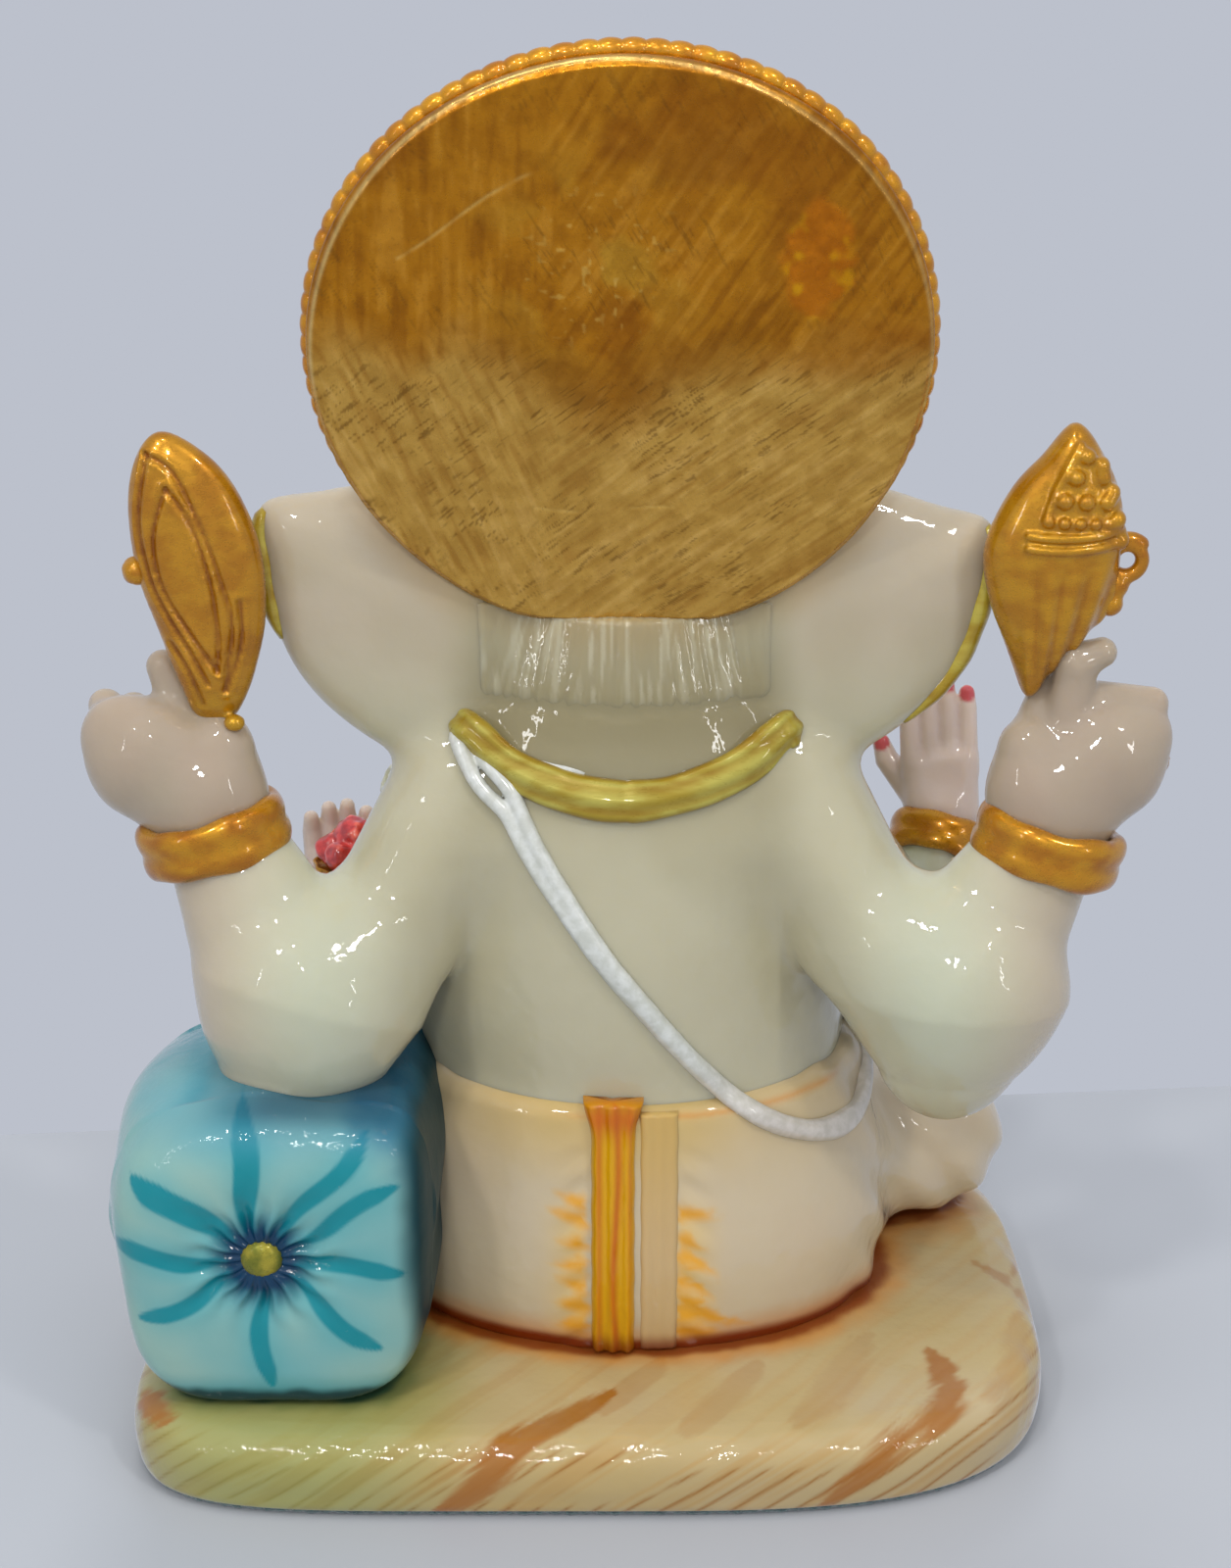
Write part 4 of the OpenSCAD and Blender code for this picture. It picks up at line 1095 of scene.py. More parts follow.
def make_pleats():
    top, half = high("pleat_strip")[2], 3.3
    mesh = strip(PLEAT_X, half, top, 1.8, 0.3, 0.35)
    points = mesh[0]
    across = (points[:, 0] - PLEAT_X) / half
    down = (top - points[:, 2]) / (top - SEAT)
    line = bump(across + 0.12 + 0.12 * np.sin(down * 7), 0, 0.16)
    line = line + 0.8 * bump(across, 0.62, 0.14) + 0.5 * bump(across, -0.75, 0.12)
    faded = 0.5 + 0.5 * cloud(points * array(1, 1, 0.2), 2, 31)
    paint = mixed(srgb(200, 148, 0), srgb(180, 78, 0), line * faded)
    paint = mixed(paint, srgb(180, 84, 2), 0.8 * bump(down, 0.05, 0.06))
    paint = mixed(paint, RUST, 0.8 * ramp(points[:, 2], SEAT + 5, SEAT + 1))
    build("pleat_strip_back", mesh, PLEAT, paint, "pleat_strip")

    top = high("pleat_band")[2]
    mesh = strip(BAND_X, 2.9, top, 1.0, 0.05)
    points = mesh[0]
    down = (top - points[:, 2]) / (top - SEAT)
    paint = mixed(srgb(188, 160, 114), srgb(186, 152, 74), 0.7 * bump(down, 0.0, 0.35))
    paint = mixed(paint, RUST, 0.8 * ramp(points[:, 2], SEAT + 4, SEAT + 0.8))
    build("pleat_band_back", mesh, CLOTH, paint, "pleat_band")


# ---------- thread, necklace, bangles and anklets ----------

# rows of height and bearing round the body
THREAD = array([103, 37], [97, 54], [86, 69.5], [70, 92], [54.5, 112], [46.5, 128], [43.5, 147], [45.5, 166],
               [53, 190], [63, 230], [72, 270], [84, 308], [95, 338])


def onto_body(path, lift, limit=4.0):
    """Path moved straight out of or into the body until it is lift millimetres above it."""
    parts, h = body + [seat], 0.2
    for _ in range(3):
        here = clay(parts, path)
        g = np.stack([clay(parts, path + h * e) - here for e in np.eye(3)], 1) / h
        move = np.clip(lift - here, -limit, limit)[:, None]
        path = path + move * g / np.maximum((g ** 2).sum(1), 0.2)[:, None]
    return path


def evened(path, times):
    for _ in range(times):
        path = (np.roll(path, 1, 0) + 2 * path + np.roll(path, -1, 0)) / 4
    return path


def thread_line(shift, lift):
    """Line on the body beside the thread's middle: shift along and lift off it, by share of its length."""
    rows = smooth_path(THREAD, 14, looped=True)
    out, lifts = [], []
    for k, (z, bearing) in enumerate(rows):
        z, raised = z + shift(k / len(rows)), lift(k / len(rows))
        above = float(ramp(z, WAIST - 2, WAIST + 2))
        on_torso = on_run(torso_run, z, bearing, raised)
        on_hips = on_run(hips_run, min(z, WAIST), bearing, raised)
        out.append(on_hips * (1 - above) + on_torso * above)
        lifts.append(raised)
    out = np.array(out)
    at_back = (ramp(out[:, 1], 2, 8) * ramp(out[:, 2], 104, 101))[:, None]
    return evened(out * (1 - at_back) + onto_body(out, np.array(lifts)) * at_back, 3)


def parted(share):
    """How far the two strands part near the shoulder, in millimetres."""
    return 1.15 * max(0.0, 1 - abs(share - 0.1) / 0.13) ** 0.6


def strand(way, waves, start):
    """One of the thread's two strands, above or below its middle."""
    def shift(share):
        return way * (0.6 + 0.9 * parted(share)) + 0.12 * math.sin((share + start) * TAU * 9)

    def lift(share):
        return 0.35 + 0.2 * math.sin(share * TAU * waves)
    return thread_line(shift, lift)


def make_thread():
    filling = thread_line(lambda share: 0, lambda share: 0.1 - 1.5 * parted(share))
    lumps = []
    for line, radius, soft in ((strand(1, 6, 0), 1.15, 0), (strand(-1, 7, 0.3), 1.1, 0.7),
                               (filling, 1.25, 0.6)):
        lumps.append(chain(np.vstack([line, line[:1]]), radius, soft))
    mesh = model(lumps, 0.35, rough(0.12, 3.0, 41))
    paint = mixed(array(0.98, 1.0, 0.96), array(0.9, 0.78, 0.7), 0.7 * ramp(mesh[0][:, 2], 62, 46))
    build("thread", mesh, WHITE, paint, "sacred_thread")


def make_necklace():
    """Flat band with fine ridges along it, laid on the shoulders and the breast."""
    half = array([0, 18.2, 98.4], [9, 17.0, 99.6], [17.5, 13, 102.6], [22.4, 6, 105.8], [21, -6, 103.5],
                 [16, -15, 97], [8.5, -22.5, 91], [0, -26, 88.5])
    path = smooth_path(np.vstack([half, half[-2:0:-1] * array(-1, 1, 1)]), 12, looped=True)
    outward = unit(np.column_stack([path[:, 0] * 0.8, path[:, 1] - 1, np.full(len(path), 6.0)]))
    path = path + array(MID, 0, 0)
    for smoothings in (10, 6):
        path = evened(onto_body(path, 0.4, 3.0), smoothings)
    count = 40
    a = bearings(count)
    ridge = 1 + 0.12 * np.cos(6 * a)
    profile = np.stack([1.75 * np.cos(a) * ridge, 2.95 * np.sin(a)], 1)
    step = np.arange(len(path))
    thick = 1 + 0.02 * np.sin(step * 0.5) + 0.04 * np.sin(step * 0.23)
    mesh = sweep(path, outward, profile[None] * thick[:, None, None], looped=True)
    edge = np.tile(np.abs(np.sin(a)), len(path))
    groove = ramp(np.tile(ridge, len(path)), 1.02, 0.9)
    paint = mixed(array(1, 1, 1), array(0.8, 0.62, 0.25), np.maximum(0.8 * ramp(edge, 0.8, 1.0), 0.6 * groove))
    build("necklace_band", mesh, CLEAR_GOLD, paint, "necklace")


def hoops(p, way, r, squeeze, spread, t, steps=120):
    """Bracelet of two swollen hoops in one band, a little uneven, round a limb at p along way."""
    way = unit(np.array(way, float))
    u = unit(np.cross(array(0, 1, 0), way))
    v = np.cross(way, u)
    f = bearings(steps)[:, None]
    outward = np.cos(f) * u + np.sin(f) * v
    path = at_figure(*p) + r * (np.cos(f) * u + squeeze * np.sin(f) * v)
    b = bearings(36)
    waist = np.abs(np.sin(b)) ** 0.6
    across = np.abs(np.sin(b)) * spread * 0.95 + t * 0.85 * waist
    shape = np.stack([np.cos(b) * t * (0.62 + 0.38 * waist), np.sign(np.sin(b)) * across], 1)
    wobble = 1 + 0.05 * np.sin(3 * f + 1) + 0.04 * np.sin(7 * f)
    return sweep(path, outward, shape[None] * wobble[:, None], looped=True)


def make_rings():
    """Bangles on the four wrists, anklets, the pendant and a bead at the right wrist."""
    for side, name in SIDES:
        flip = array(side, 1, 1)
        place, axis = (WRISTS[side] + array(1, -0.2, 0.9)) * flip, array(5.2, -0.6, 20) * flip
        mesh = hoops(place, axis, 9.3, 0.86, 2.3, 2.0)
        gild("bangle_rear_" + name, mesh, ORANGE_GOLD, 51, "rear_bangle_" + name)
    for name, p, way in (("left", (44.8, -24.6, 61.5), (2, -10.5, 0.6)),
                         ("right", (-49.9, -23.8, 76), (-4.8, -9.5, 13.5))):
        gild("bangle_front_" + name, hoops(p, way, 6.9, 1, 1.9, 1.6), ORANGE_GOLD, 53, "front_bangle_" + name)
    for side, name in SIDES:
        flip = array(side, 1, 1)
        mesh = hoops(array(17.5, -34.8, 20.2) * flip, array(-32, -10.2, -2.5) * flip, 7.3, 1, 1.0, 1.1, 72)
        mesh[0][:, 2] = np.maximum(mesh[0][:, 2], SEAT + 0.1)
        gild("ankle_ring_" + name, mesh, GOLD, 55, "anklet_" + name)
    gild("pendant_drop", ball(middle("pendant"), (3.5, 2.4, 4.4), 14), GOLD, 57, "pendant")
    gild("gold_bead", ball(middle("palm_bead") + array(0.4, 0, 0), 2.1, 12, 0.25, 3), GOLD, 58, "palm_bead")


# ---------- sweets on a dish ----------

def make_sweets():
    place = array(*middle("sweet_dish")[:2], low("sweet_dish")[2])
    rim = array(*place[:2], high("sweet_dish")[2])
    rows = [(1.0, 0), (3.8, 0), (4.2, 0.3), (5.4, 1.2), (6.4, 2.2), (6.85, 3.1), (6.8, 3.55), (6.4, 3.5),
            (5.8, 2.9), (3, 2.5), (0.6, 2.4)]
    points, faces = lathe(rows, 3, 64, lambda z, b: 1 + 0.03 * np.cos(12 * b) * (z > 2))
    build("dish", (points + place, faces), GOLD, worn((points, faces), 59), "sweet_dish")
    heap = []
    for a in bearings(6):
        heap.append(oval(rim + array(4 * math.cos(a), 4 * math.sin(a), 1.9), (2.5, 2.5, 2.4), 0.3))
    heap.append(oval(rim + array(0, 0, 4.2), (3.3, 3.3, 3.1), 0.4))
    heap.append(oval(rim + array(0, 0, 0.4), (5.5, 5.5, 1.6), 0.5))
    mesh = model(heap, 0.4, rough(0.75, 1.5, 61))
    grain = cloud(mesh[0], 1.5, 61, 1)
    paint = mixed(array(1, 1, 1), array(1.5, 5.0, 3.5), 0.5 * ramp(grain, 0.6, 0.85))
    build("sweet_heap", mesh, RED, paint, "sweets")


# ---------- face ----------

def make_tusks():
    """A whole tusk on the left and a short one on the right, each in a fleshy collar."""
    for (side, name), reach in zip(SIDES, (14, 8)):
        flip = array(side, 1, 1)
        start = array(9.5, -26, 116.5)
        tip = start + reach * array(0.35, -0.75, -0.5)
        row = [start - (tip - start) * 0.25, start, (start + tip) / 2 + array(0.6, 0, -0.7), tip]
        row = smooth_path(row, 10) * flip + array(MID, 0, 0)
        radii = np.interp(np.linspace(0, 1, len(row)), [0, 0.45, 1], [2.7, 2.4, 1.15])
        mesh = model([chain(row, radii), chain(row[:9], radii[:9] + 0.55, 0.3)], 0.4)
        build("tusk_" + name + "_ivory", mesh, WHITE, all_one(mesh), "tusk_" + name)


def make_eyes():
    """Almond eyes: a ball painted with iris and pupil between two thin lids."""
    parts, paints = [], []
    eye_white, lid_paint = array(0.8, 0.78, 0.72), array(0.012, 0.009, 0.007)
    for side in (-1, 1):
        place, turn = at_figure(side * 13.8, -24.4, 129), side * 32
        p, f = ball((0, 0, 0), (3.3, 1.9, 2.0), 22)
        out = np.hypot(p[:, 0], p[:, 2])
        colour = mixed(eye_white, array(0.06, 0.025, 0.01), ramp(out, 1.55, 1.4))
        colour = mixed(colour, array(0.004, 0.004, 0.004), ramp(out, 0.85, 0.7))
        colour[p[:, 1] > 0] = eye_white
        parts.append((spun(p, 2, turn) + place, f))
        paints.append(colour)
        bow = np.linspace(-1, 1, 25)
        for rise in (1.75, -1.4875):
            depth = -1.75 * np.sqrt(np.maximum(1 - (bow * 0.93) ** 2, 0)) - 0.35 + 0.2 * bow ** 2
            arc = np.stack([bow * 3.7, depth, rise * np.maximum(1 - bow ** 2, 0) ** 0.7 + 0.15], 1)
            p, f = sweep(arc, np.tile(array(0, -1, 0), (len(bow), 1)), ellipse(10, 0.55, 0.5))
            parts.append((spun(p, 2, turn) + place, f))
            paints.append(np.tile(lid_paint, (len(p), 1)))
    build("painted_eyes", join(*parts), EYE, np.vstack(paints), "eyes")


def make_mark():
    mesh = ball(middle("forehead_mark") + array(0, 0.5, 0), (1.7, 1.6, 3.0), 14)
    build("mark", mesh, RED, all_one(mesh), "forehead_mark")


# ---------- crown plate and its beads ----------

BEADS = 88


def plate_reach(bearing):
    """Radius of the plate's outline: a slightly uneven circle with a soft flat at the bottom."""
    sharp = 1.6
    r = PLATE_R + 0.35 * np.sin(3 * bearing + 0.6) - 0.3
    flat = CHIN / np.maximum(-np.sin(bearing), 0.05)
    return -np.log(np.exp(-r * sharp) + np.exp(-flat * sharp)) / sharp


def flat_noise(u, v, size, seed, octaves=2):
    return drift(np.stack([u, v, 0 * u], -1), size, seed, octaves)


def along(u, v, degrees, long, wide, seed, octaves=2):
    """Noise drawn out along a direction."""
    a = math.radians(degrees)
    s, t = u * math.cos(a) + v * math.sin(a), v * math.cos(a) - u * math.sin(a)
    return flat_noise(s / long, t / wide, 1.0, seed, octaves)


def spot(u, v, at_u, at_v, width):
    return bump(np.hypot(u - at_u, v - at_v), 0, width)


def scratch(u, v, start, end, width):
    start, end = array(*start), array(*end)
    q, axis = np.stack([u, v], -1) - start, end - start
    t = np.clip(q @ axis / (axis @ axis), 0, 1)
    return bump(length(q - t[..., None] * axis), 0, width)


def long_scratches(u, v):
    """Two hair-thin scratches, one slanting in the upper half and one level in the lower half, with gaps."""
    v = v + 0.5 * np.sin(u * 0.3)
    both = scratch(u, v, (28, 15.5), (11, 26), 0.22) + 0.8 * scratch(u, v, (14, -20.6), (-7, -20.8), 0.2)
    return both * ramp(flat_noise(u, v, 3.5, 89), -0.25, 0.05)


def v_hollow(u, v):
    """Closeness to the two arms of the shallow V pressed into the middle of the plate."""
    return bump(np.abs(u - 1) * 0.62 - (v + 9), 0, 6) * ramp(np.hypot(u, v), 24, 12)


def lower_share(u, v):
    """1 in the lighter lower part, whose upper edge dips to a V in the middle, and 0 above it."""
    edge = -7 + 0.47 * np.clip(np.abs(u - 1), 0, 20)
    return ramp(v - edge + 8 * flat_noise(u, v, 9, 76, 3), 5.5, -5.5)


def blotch_at(u, v):
    """The rough orange patch: about 1 inside its ragged outline."""
    return ramp(np.hypot(u + 25, (v - 14.5) / 1.8) + 3 * flat_noise(u, v, 3, 86), 5.2, 3.6)


def brushed(u, v):
    """Brush marks: steep in the upper half, slanting in the lower half, from about -0.5 to 0.5."""
    upright = ramp(u + 6 * flat_noise(u, v, 9, 91), 4, 14)
    steep = along(u, v, 92, 8, 0.9, 72, 3) * upright + along(u, v, 122, 8, 0.8, 92, 3) * (1 - upright)
    steep = 0.7 * steep + 0.45 * flat_noise(u, v, 6, 88, 3)
    slant = along(u, v, 68, 6, 0.7, 93, 3) * upright + along(u, v, 142, 7, 0.7, 73, 3) * (1 - upright)
    slant = 0.7 * slant + 0.4 * flat_noise(u, v, 7, 90, 3)
    share = lower_share(u, v)
    return steep * (1 - share) + slant * share


def plate_height(u, v):
    """Relief of the back face in millimetres: a shallow hollow, brush marks, a dimple, scratches."""
    rho = np.hypot(u, v) / PLATE_R
    w = -0.7 * ramp(rho, 0.85, 0.2) * (0.7 + 0.3 * np.cos(u * 0.05)) - 0.2 * v_hollow(u, v)
    w = w + 0.45 * flat_noise(u, v, 13, 71) + 0.3 * brushed(u, v) + 0.12 * along(u, v, 60, 4, 0.5, 74)
    w = w - 0.45 * spot(u, v, 25, -1, 1.2) + 0.25 * spot(u, v, 25, -1, 2.4)
    w = w + 0.35 * blotch_at(u, v) * (0.6 + flat_noise(u, v, 1.4, 75))
    w = w + 0.16 * ramp(flat_noise(u, v, 1.3, 85, 3), 0.0, 0.3) * spot(u, v, 3, 14, 11)
    w = w - 0.16 * long_scratches(u, v)
    return w + 0.25 * bump(rho, 0.985, 0.012) * ramp(v, -24, 0)


def plate_mesh():
    """The back face, the rolled edge and a front face with fine rays between the crown and the beads."""
    bearing = bearings(720)
    edge = plate_reach(bearing)
    sections = []
    for share in np.linspace(0.0005, 1, 180) ** 0.85:
        u, v = share * edge * np.cos(bearing), share * edge * np.sin(bearing)
        sections.append(on_plate(u, v, plate_height(u, v) - 0.9 * ramp(share, 0.975, 1.0)))
    for w, grow in ((-1.3, 0.12), (-2.0, 0.05), (-2.7, -0.3), (-3.1, -0.9), (-4.8, -1.0), (-5.6, -1.2),
                    (-6.0, -2.2), (-6.0, -7)):
        r = edge + grow
        sections.append(on_plate(r * np.cos(bearing), r * np.sin(bearing), np.full(len(bearing), w)))
    for share in np.linspace(0.8, 0.001, 60):
        rays = 0.5 * (1 - np.abs(np.cos(bearing * 24)) ** 1.5) * ramp(share, 0.3, 0.5) * ramp(share, 0.8, 0.76)
        u, v = share * edge * np.cos(bearing), share * edge * np.sin(bearing)
        sections.append(on_plate(u, v, -5.5 - rays))
    return inside_out(capped(sections))


def plate_paint(points):
    """Old gold above, lighter below, with brush marks, dark nicks, an orange patch, a painted golden sheen
    with bright glint flecks in the upper middle and a painted highlight along the upper edge.
    """
    u, v, w = plate_places(points)
    share, brush = lower_share(u, v), brushed(u, v)
    paint = mixed(srgb(192, 126, 24), srgb(206, 160, 74), share)
    bright = mixed(srgb(216, 150, 46), srgb(230, 184, 98), share)
    paint = mixed(paint, bright, 0.65 * ramp(brush, 0.02, 0.22))
    paint = mixed(paint, srgb(154, 92, 14), 0.6 * ramp(brush, -0.02, -0.22) * (1 - 0.45 * share))
    paint = mixed(paint, srgb(158, 92, 16), 0.6 * ramp(flat_noise(u, v, 15, 77, 3), 0.0, 0.2) * (1 - share))
    # painted sheen: a lighter golden patch in the upper middle
    glow = ramp(flat_noise(u, v, 7, 87, 3), -0.02, 0.2) * spot(u, v, 4, 14, 12)
    paint = mixed(paint, srgb(206, 156, 50), 0.7 * glow)
    paint = mixed(paint, srgb(140, 90, 20), 0.6 * v_hollow(u, v) * (1 - share))
    nicks = ramp(along(u, v, 142, 2.6, 0.24, 78, 2), 0.15, 0.25)
    nicks = nicks * ramp(v, 8, -4) * ramp(flat_noise(u, v, 7, 79), -0.14, 0.08)
    upper = ramp(along(u, v, 62, 3.0, 0.32, 80, 2), 0.17, 0.28)
    upper = upper * ramp(v, -2, 8) * ramp(flat_noise(u, v, 9, 81), 0.0, 0.2)
    paint = mixed(paint, srgb(116, 76, 22), 0.6 * np.maximum(nicks, 0.6 * upper))
    # painted glints: bright flecks in the same upper middle
    flecks = ramp(flat_noise(u, v, 0.8, 82, 1), 0.3, 0.45) * ramp(np.hypot(u - 3, v - 14), 15, 3)
    paint = mixed(paint, srgb(240, 196, 96), 0.5 * flecks)
    patchy = mixed(srgb(200, 116, 18), srgb(232, 164, 20), ramp(flat_noise(u, v, 2.2, 83), 0.0, 0.3))
    paint = mixed(paint, patchy, 0.85 * blotch_at(u, v))
    paint = mixed(paint, srgb(240, 200, 110), 0.5 * long_scratches(u, v))
    # painted highlight along the upper edge, stronger towards the figure's left
    rim = bump(np.hypot(u, v) / PLATE_R, 0.984, 0.006) * ramp(v, -28, 0) * (0.5 + 0.5 * ramp(u, -30, 10))
    paint = mixed(paint, srgb(250, 226, 150), 0.5 * rim)
    return mixed(paint, srgb(176, 112, 26), 0.8 * ramp(w, -1.2, -2.2))


def bead_rope(inset, depth, thick, notch):
    """Ring of beads run together, just in front of the plate's edge, with a gap at its flat."""
    a = bearings(BEADS * 10)
    a = a[-np.sin(a) * (PLATE_R + 1) < CHIN - 1.0]
    a = np.roll(a, -int(np.argmax(np.diff(a))) - 1)
    r = plate_reach(a) - inset
    path = on_plate(r * np.cos(a), r * np.sin(a), np.full(len(a), depth))
    outward = on_plate(np.cos(a), np.sin(a), 0 * a) - PLATE_C
    swell = 1 - notch * (1 - np.abs(np.sin(a * BEADS / 2)) ** 0.7)
    return sweep(path, outward, ellipse(16, 1, 1)[None] * (thick * swell)[:, None, None])


def make_plate():
    mesh = plate_mesh()
    build("plate", mesh, PLATE_GOLD, plate_paint(mesh[0]), "crown_plate")
    ropes = join(bead_rope(0.2, -4.3, 1.45, 0.22), bead_rope(3.6, -6.2, 1.0, 0.3))
    gild("plate_bead_ring", ropes, ORANGE_GOLD, 84, "plate_beads", gain=1.25)


# ---------- the crown itself: a band, a dome of upright petals, a bud and jewels ----------

CROWN_AT = at_figure(0, -4, CROWN)


def lobes(count, depth, z0, z1):
    """Flutes for a lathe: so many round it, deepest halfway from z0 to z1."""
    def scale(z, b):
        wave = np.abs(np.cos(b * count / 2))
        return 1 - depth * (1 - wave) * bump(z, (z0 + z1) / 2, (z1 - z0) / 1.6)
    return scale


def make_crown():
    """Turned pieces given as rows of radius and height."""
    band = [(1, 0), (22, 0), (23.6, 0.6), (24, 1.6), (23.7, 2.6), (22.9, 3.4), (23.7, 4.3), (24, 5.3),
            (23.4, 6.5), (22, 7), (1, 7)]
    dome = [(1, 0), (20.4, 0), (21.3, 2), (21.4, 4), (21, 6.4), (19.8, 9), (17.8, 11.6), (18.1, 13.2),
            (17.4, 16), (15.6, 19), (13, 21.6), (13.1, 23), (12, 25.4), (9.6, 28.4), (7, 30), (1, 30)]
    bud = [(0.6, 0), (5.2, 0), (5.8, 1), (5.2, 1.9), (3.5, 2.6), (4.2, 3.8), (4.7, 5.2), (4.2, 6.9),
           (2.8, 8.4), (1.7, 10), (0.9, 12), (0.2, 12.6)]
    lower, upper, tips = lobes(20, 0.07, 1, 11), lobes(14, 0.09, 13, 21), lobes(10, 0.1, 23, 29)

    def petals(z, b):
        return upper(z, b) * tips(z, b + 0.2) * lower(z, b)

    def beading(z, b):
        return 1 + 0.012 * np.cos(48 * b) * (2.0 < z < 5.0)
    for name, rows, turns, flutes, lift, squeeze, seed, node in (
            ("crown_ring", band, 180, beading, 0, 0.96, 91, "crown_band"),
            ("crown_petals", dome, 240, petals, 7, 1, 92, "crown_dome"),
            ("crown_bud", bud, 96, lobes(8, 0.16, 3.5, 8), 37, 1, 93, "crown_finial")):
        points, faces = lathe(rows, 4, turns, flutes)
        points = behind_plate(points * array(1, squeeze, 1) + CROWN_AT + array(0, 0, lift))
        gild(name, (points, faces), GOLD, seed, node)
    meshes = []
    for degrees in (-144, -117, -90, -63, -36):
        a = math.radians(degrees)
        points, faces = ball((0, 0, 0), (1.5, 2.0, 3.0), 12)
        place = CROWN_AT + array(20.9 * math.cos(a), 20.9 * math.sin(a), 12)
        meshes.append((spun(points, 2, degrees) + place, faces))
    stones = join(*meshes)
    build("crown_stones", stones, RED, all_one(stones), "crown_jewels")


# ---------- ear trims ----------

def make_ear_trims():
    """Rims along part of each ear's edge, thinning to their ends."""
    for (side, name), last in zip(SIDES, (33, 44)):
        x, z = EAR_EDGES[side][18:last].T
        path = np.column_stack([x * side + MID, np.full(len(x), 4.3), z])
        outward = unit(np.column_stack([side * (x - EAR_C[0]), 0 * x, z - EAR_C[1]]))
        taper = np.sin(np.linspace(0.12, math.pi - 0.12, len(path))) ** 0.4
        wobble = taper * (1 + 0.04 * np.sin(np.arange(len(path)) * 1.3))
        mesh = sweep(path - 0.8 * outward, outward, ellipse(20, 1.8, 2.6)[None] * wobble[:, None, None])
        gild("ear_rim_" + name, mesh, CLEAR_GOLD, 95, "ear_trim_" + name)


# ---------- emblems: a leaf-shaped one in the left rear hand and a conch in the right one ----------

leaf_edge = smooth_path(array([61.5, 148.6], [65.4, 146.8], [67.6, 140], [67.2, 130], [64.6, 121], [62.0, 113],
                              [60.2, 108.6], [57.2, 107.3], [54.4, 109.2], [51.6, 115.5], [49.8, 124],
                              [50.4, 134], [54.6, 143.4]), 6, looped=True)
conch_edge = smooth_path(array([60.3, 150], [64.4, 145.6], [67.2, 139.4], [67.6, 133], [67, 126], [64, 120.4],
                               [59.4, 115.5], [56, 111.5], [52.8, 118.6], [49.9, 126], [49, 133],
                               [52, 140.6], [56, 145.4]), 6, looped=True)
LEAF_C, CONCH_C = array(59.4, 128), array(58.8, 131)
conch_radius = outline_radius(conch_edge, CONCH_C)
# grooves as rows of x and z about the leaf's middle: two nested pointed ovals that run out into flutes
LEAF_LINES = [array([5.1, 18], [6.6, 9], [5.6, 2], [3.8, -3], [0.6, -9], [-1.6, -14]),
              array([5.1, 18], [1.4, 15.6], [-2.0, 8], [-4.2, 1], [-5.4, -6], [-3.6, -15]),
              array([2.5, 13.6], [4.6, 7], [3.8, 0], [0.6, -6], [-3.0, -12]),
              array([2.5, 13.6], [-0.6, 9], [-2.6, 2], [-3.4, -6], [-3.0, -12]),
              array([3.2, -8], [1.0, -12], [-0.6, -17]),
              array([-6.6, -2], [-6.4, -8], [-4.0, -15])]


def line_gap(q, line):
    """Distance in the plane to a smooth line given as rows of x and z."""
    line = smooth_path(line, 5)
    gap = np.full(len(q), FAR)
    for a, b in zip(line[:-1], line[1:]):
        axis = b - a
        t = np.clip((q - a) @ axis / (axis @ axis), 0, 1)
        gap = np.minimum(gap, length(q - a - t[:, None] * axis))
    return gap


def leaf_grooves(p):
    q = p[:, [0, 2]] - array(MID, 0) - LEAF_C
    at_back = p[:, 1] > 8
    relief = np.zeros(len(p))
    for line in LEAF_LINES:
        gap = line_gap(q[at_back], line)
        relief[at_back] += 0.18 * bump(gap, 0.75, 0.3) - 0.45 * bump(gap, 0, 0.38)
    return np.maximum(relief, -0.5) + 0.12 * drift(p, 4, 98)


def make_leaf():
    lumps = [pillow(leaf_edge, 10.5, 4.1, 3.4, LEAF_C, power=2.4),
             bulge((54.6, 13.2, 108.4), (1.5, 1.4, 1.2), 0.8)]
    mesh = model(lumps, 0.45, leaf_grooves)
    cut = ramp(-leaf_grooves(mesh[0]), 0.1, 0.45)
    paint = mixed(array(1.05, 1.0, 1.0), array(0.62, 0.42, 0.2), cut)
    paint = mixed(paint, array(1.1, 1.35, 1.1), 0.5 * ramp(mesh[0][:, 2], 116, 108))
    build("leaf_emblem", mesh, ORANGE_GOLD, paint, "emblem_leaf")
    bead = ball(middle("emblem_leaf_bead") + array(-0.6, 0, 0), 2.0, 12, 0.2, 4)
    gild("leaf_bead", bead, ORANGE_GOLD, 96, "emblem_leaf_bead")


def conch_relief(p):
    """Flutes that fan out below the conch's cap."""
    qx, qz = MID - p[:, 0] - CONCH_C[0], p[:, 2] - CONCH_C[1]
    within = ramp(qz, 2, -3) * ramp(qz, -20, -14) * ramp(qx, -7, -2)
    return 0.28 * np.cos(np.arctan2(qx + 1.5, 34 + qz) * 58) * within + 0.12 * drift(p, 4, 99)


def on_conch(x, z, proud=0.0):
    """Point on the conch's back at x and z from the middle plane and the floor."""
    qx, qz = x - CONCH_C[0], z - CONCH_C[1]
    out = min(0.97, math.hypot(qx, qz) / conch_radius(math.atan2(qz, qx)))
    return at_figure(-x, 10.5 + (5.2 + proud) * (1 - out ** 2.2) ** (1 / 2.2), z)


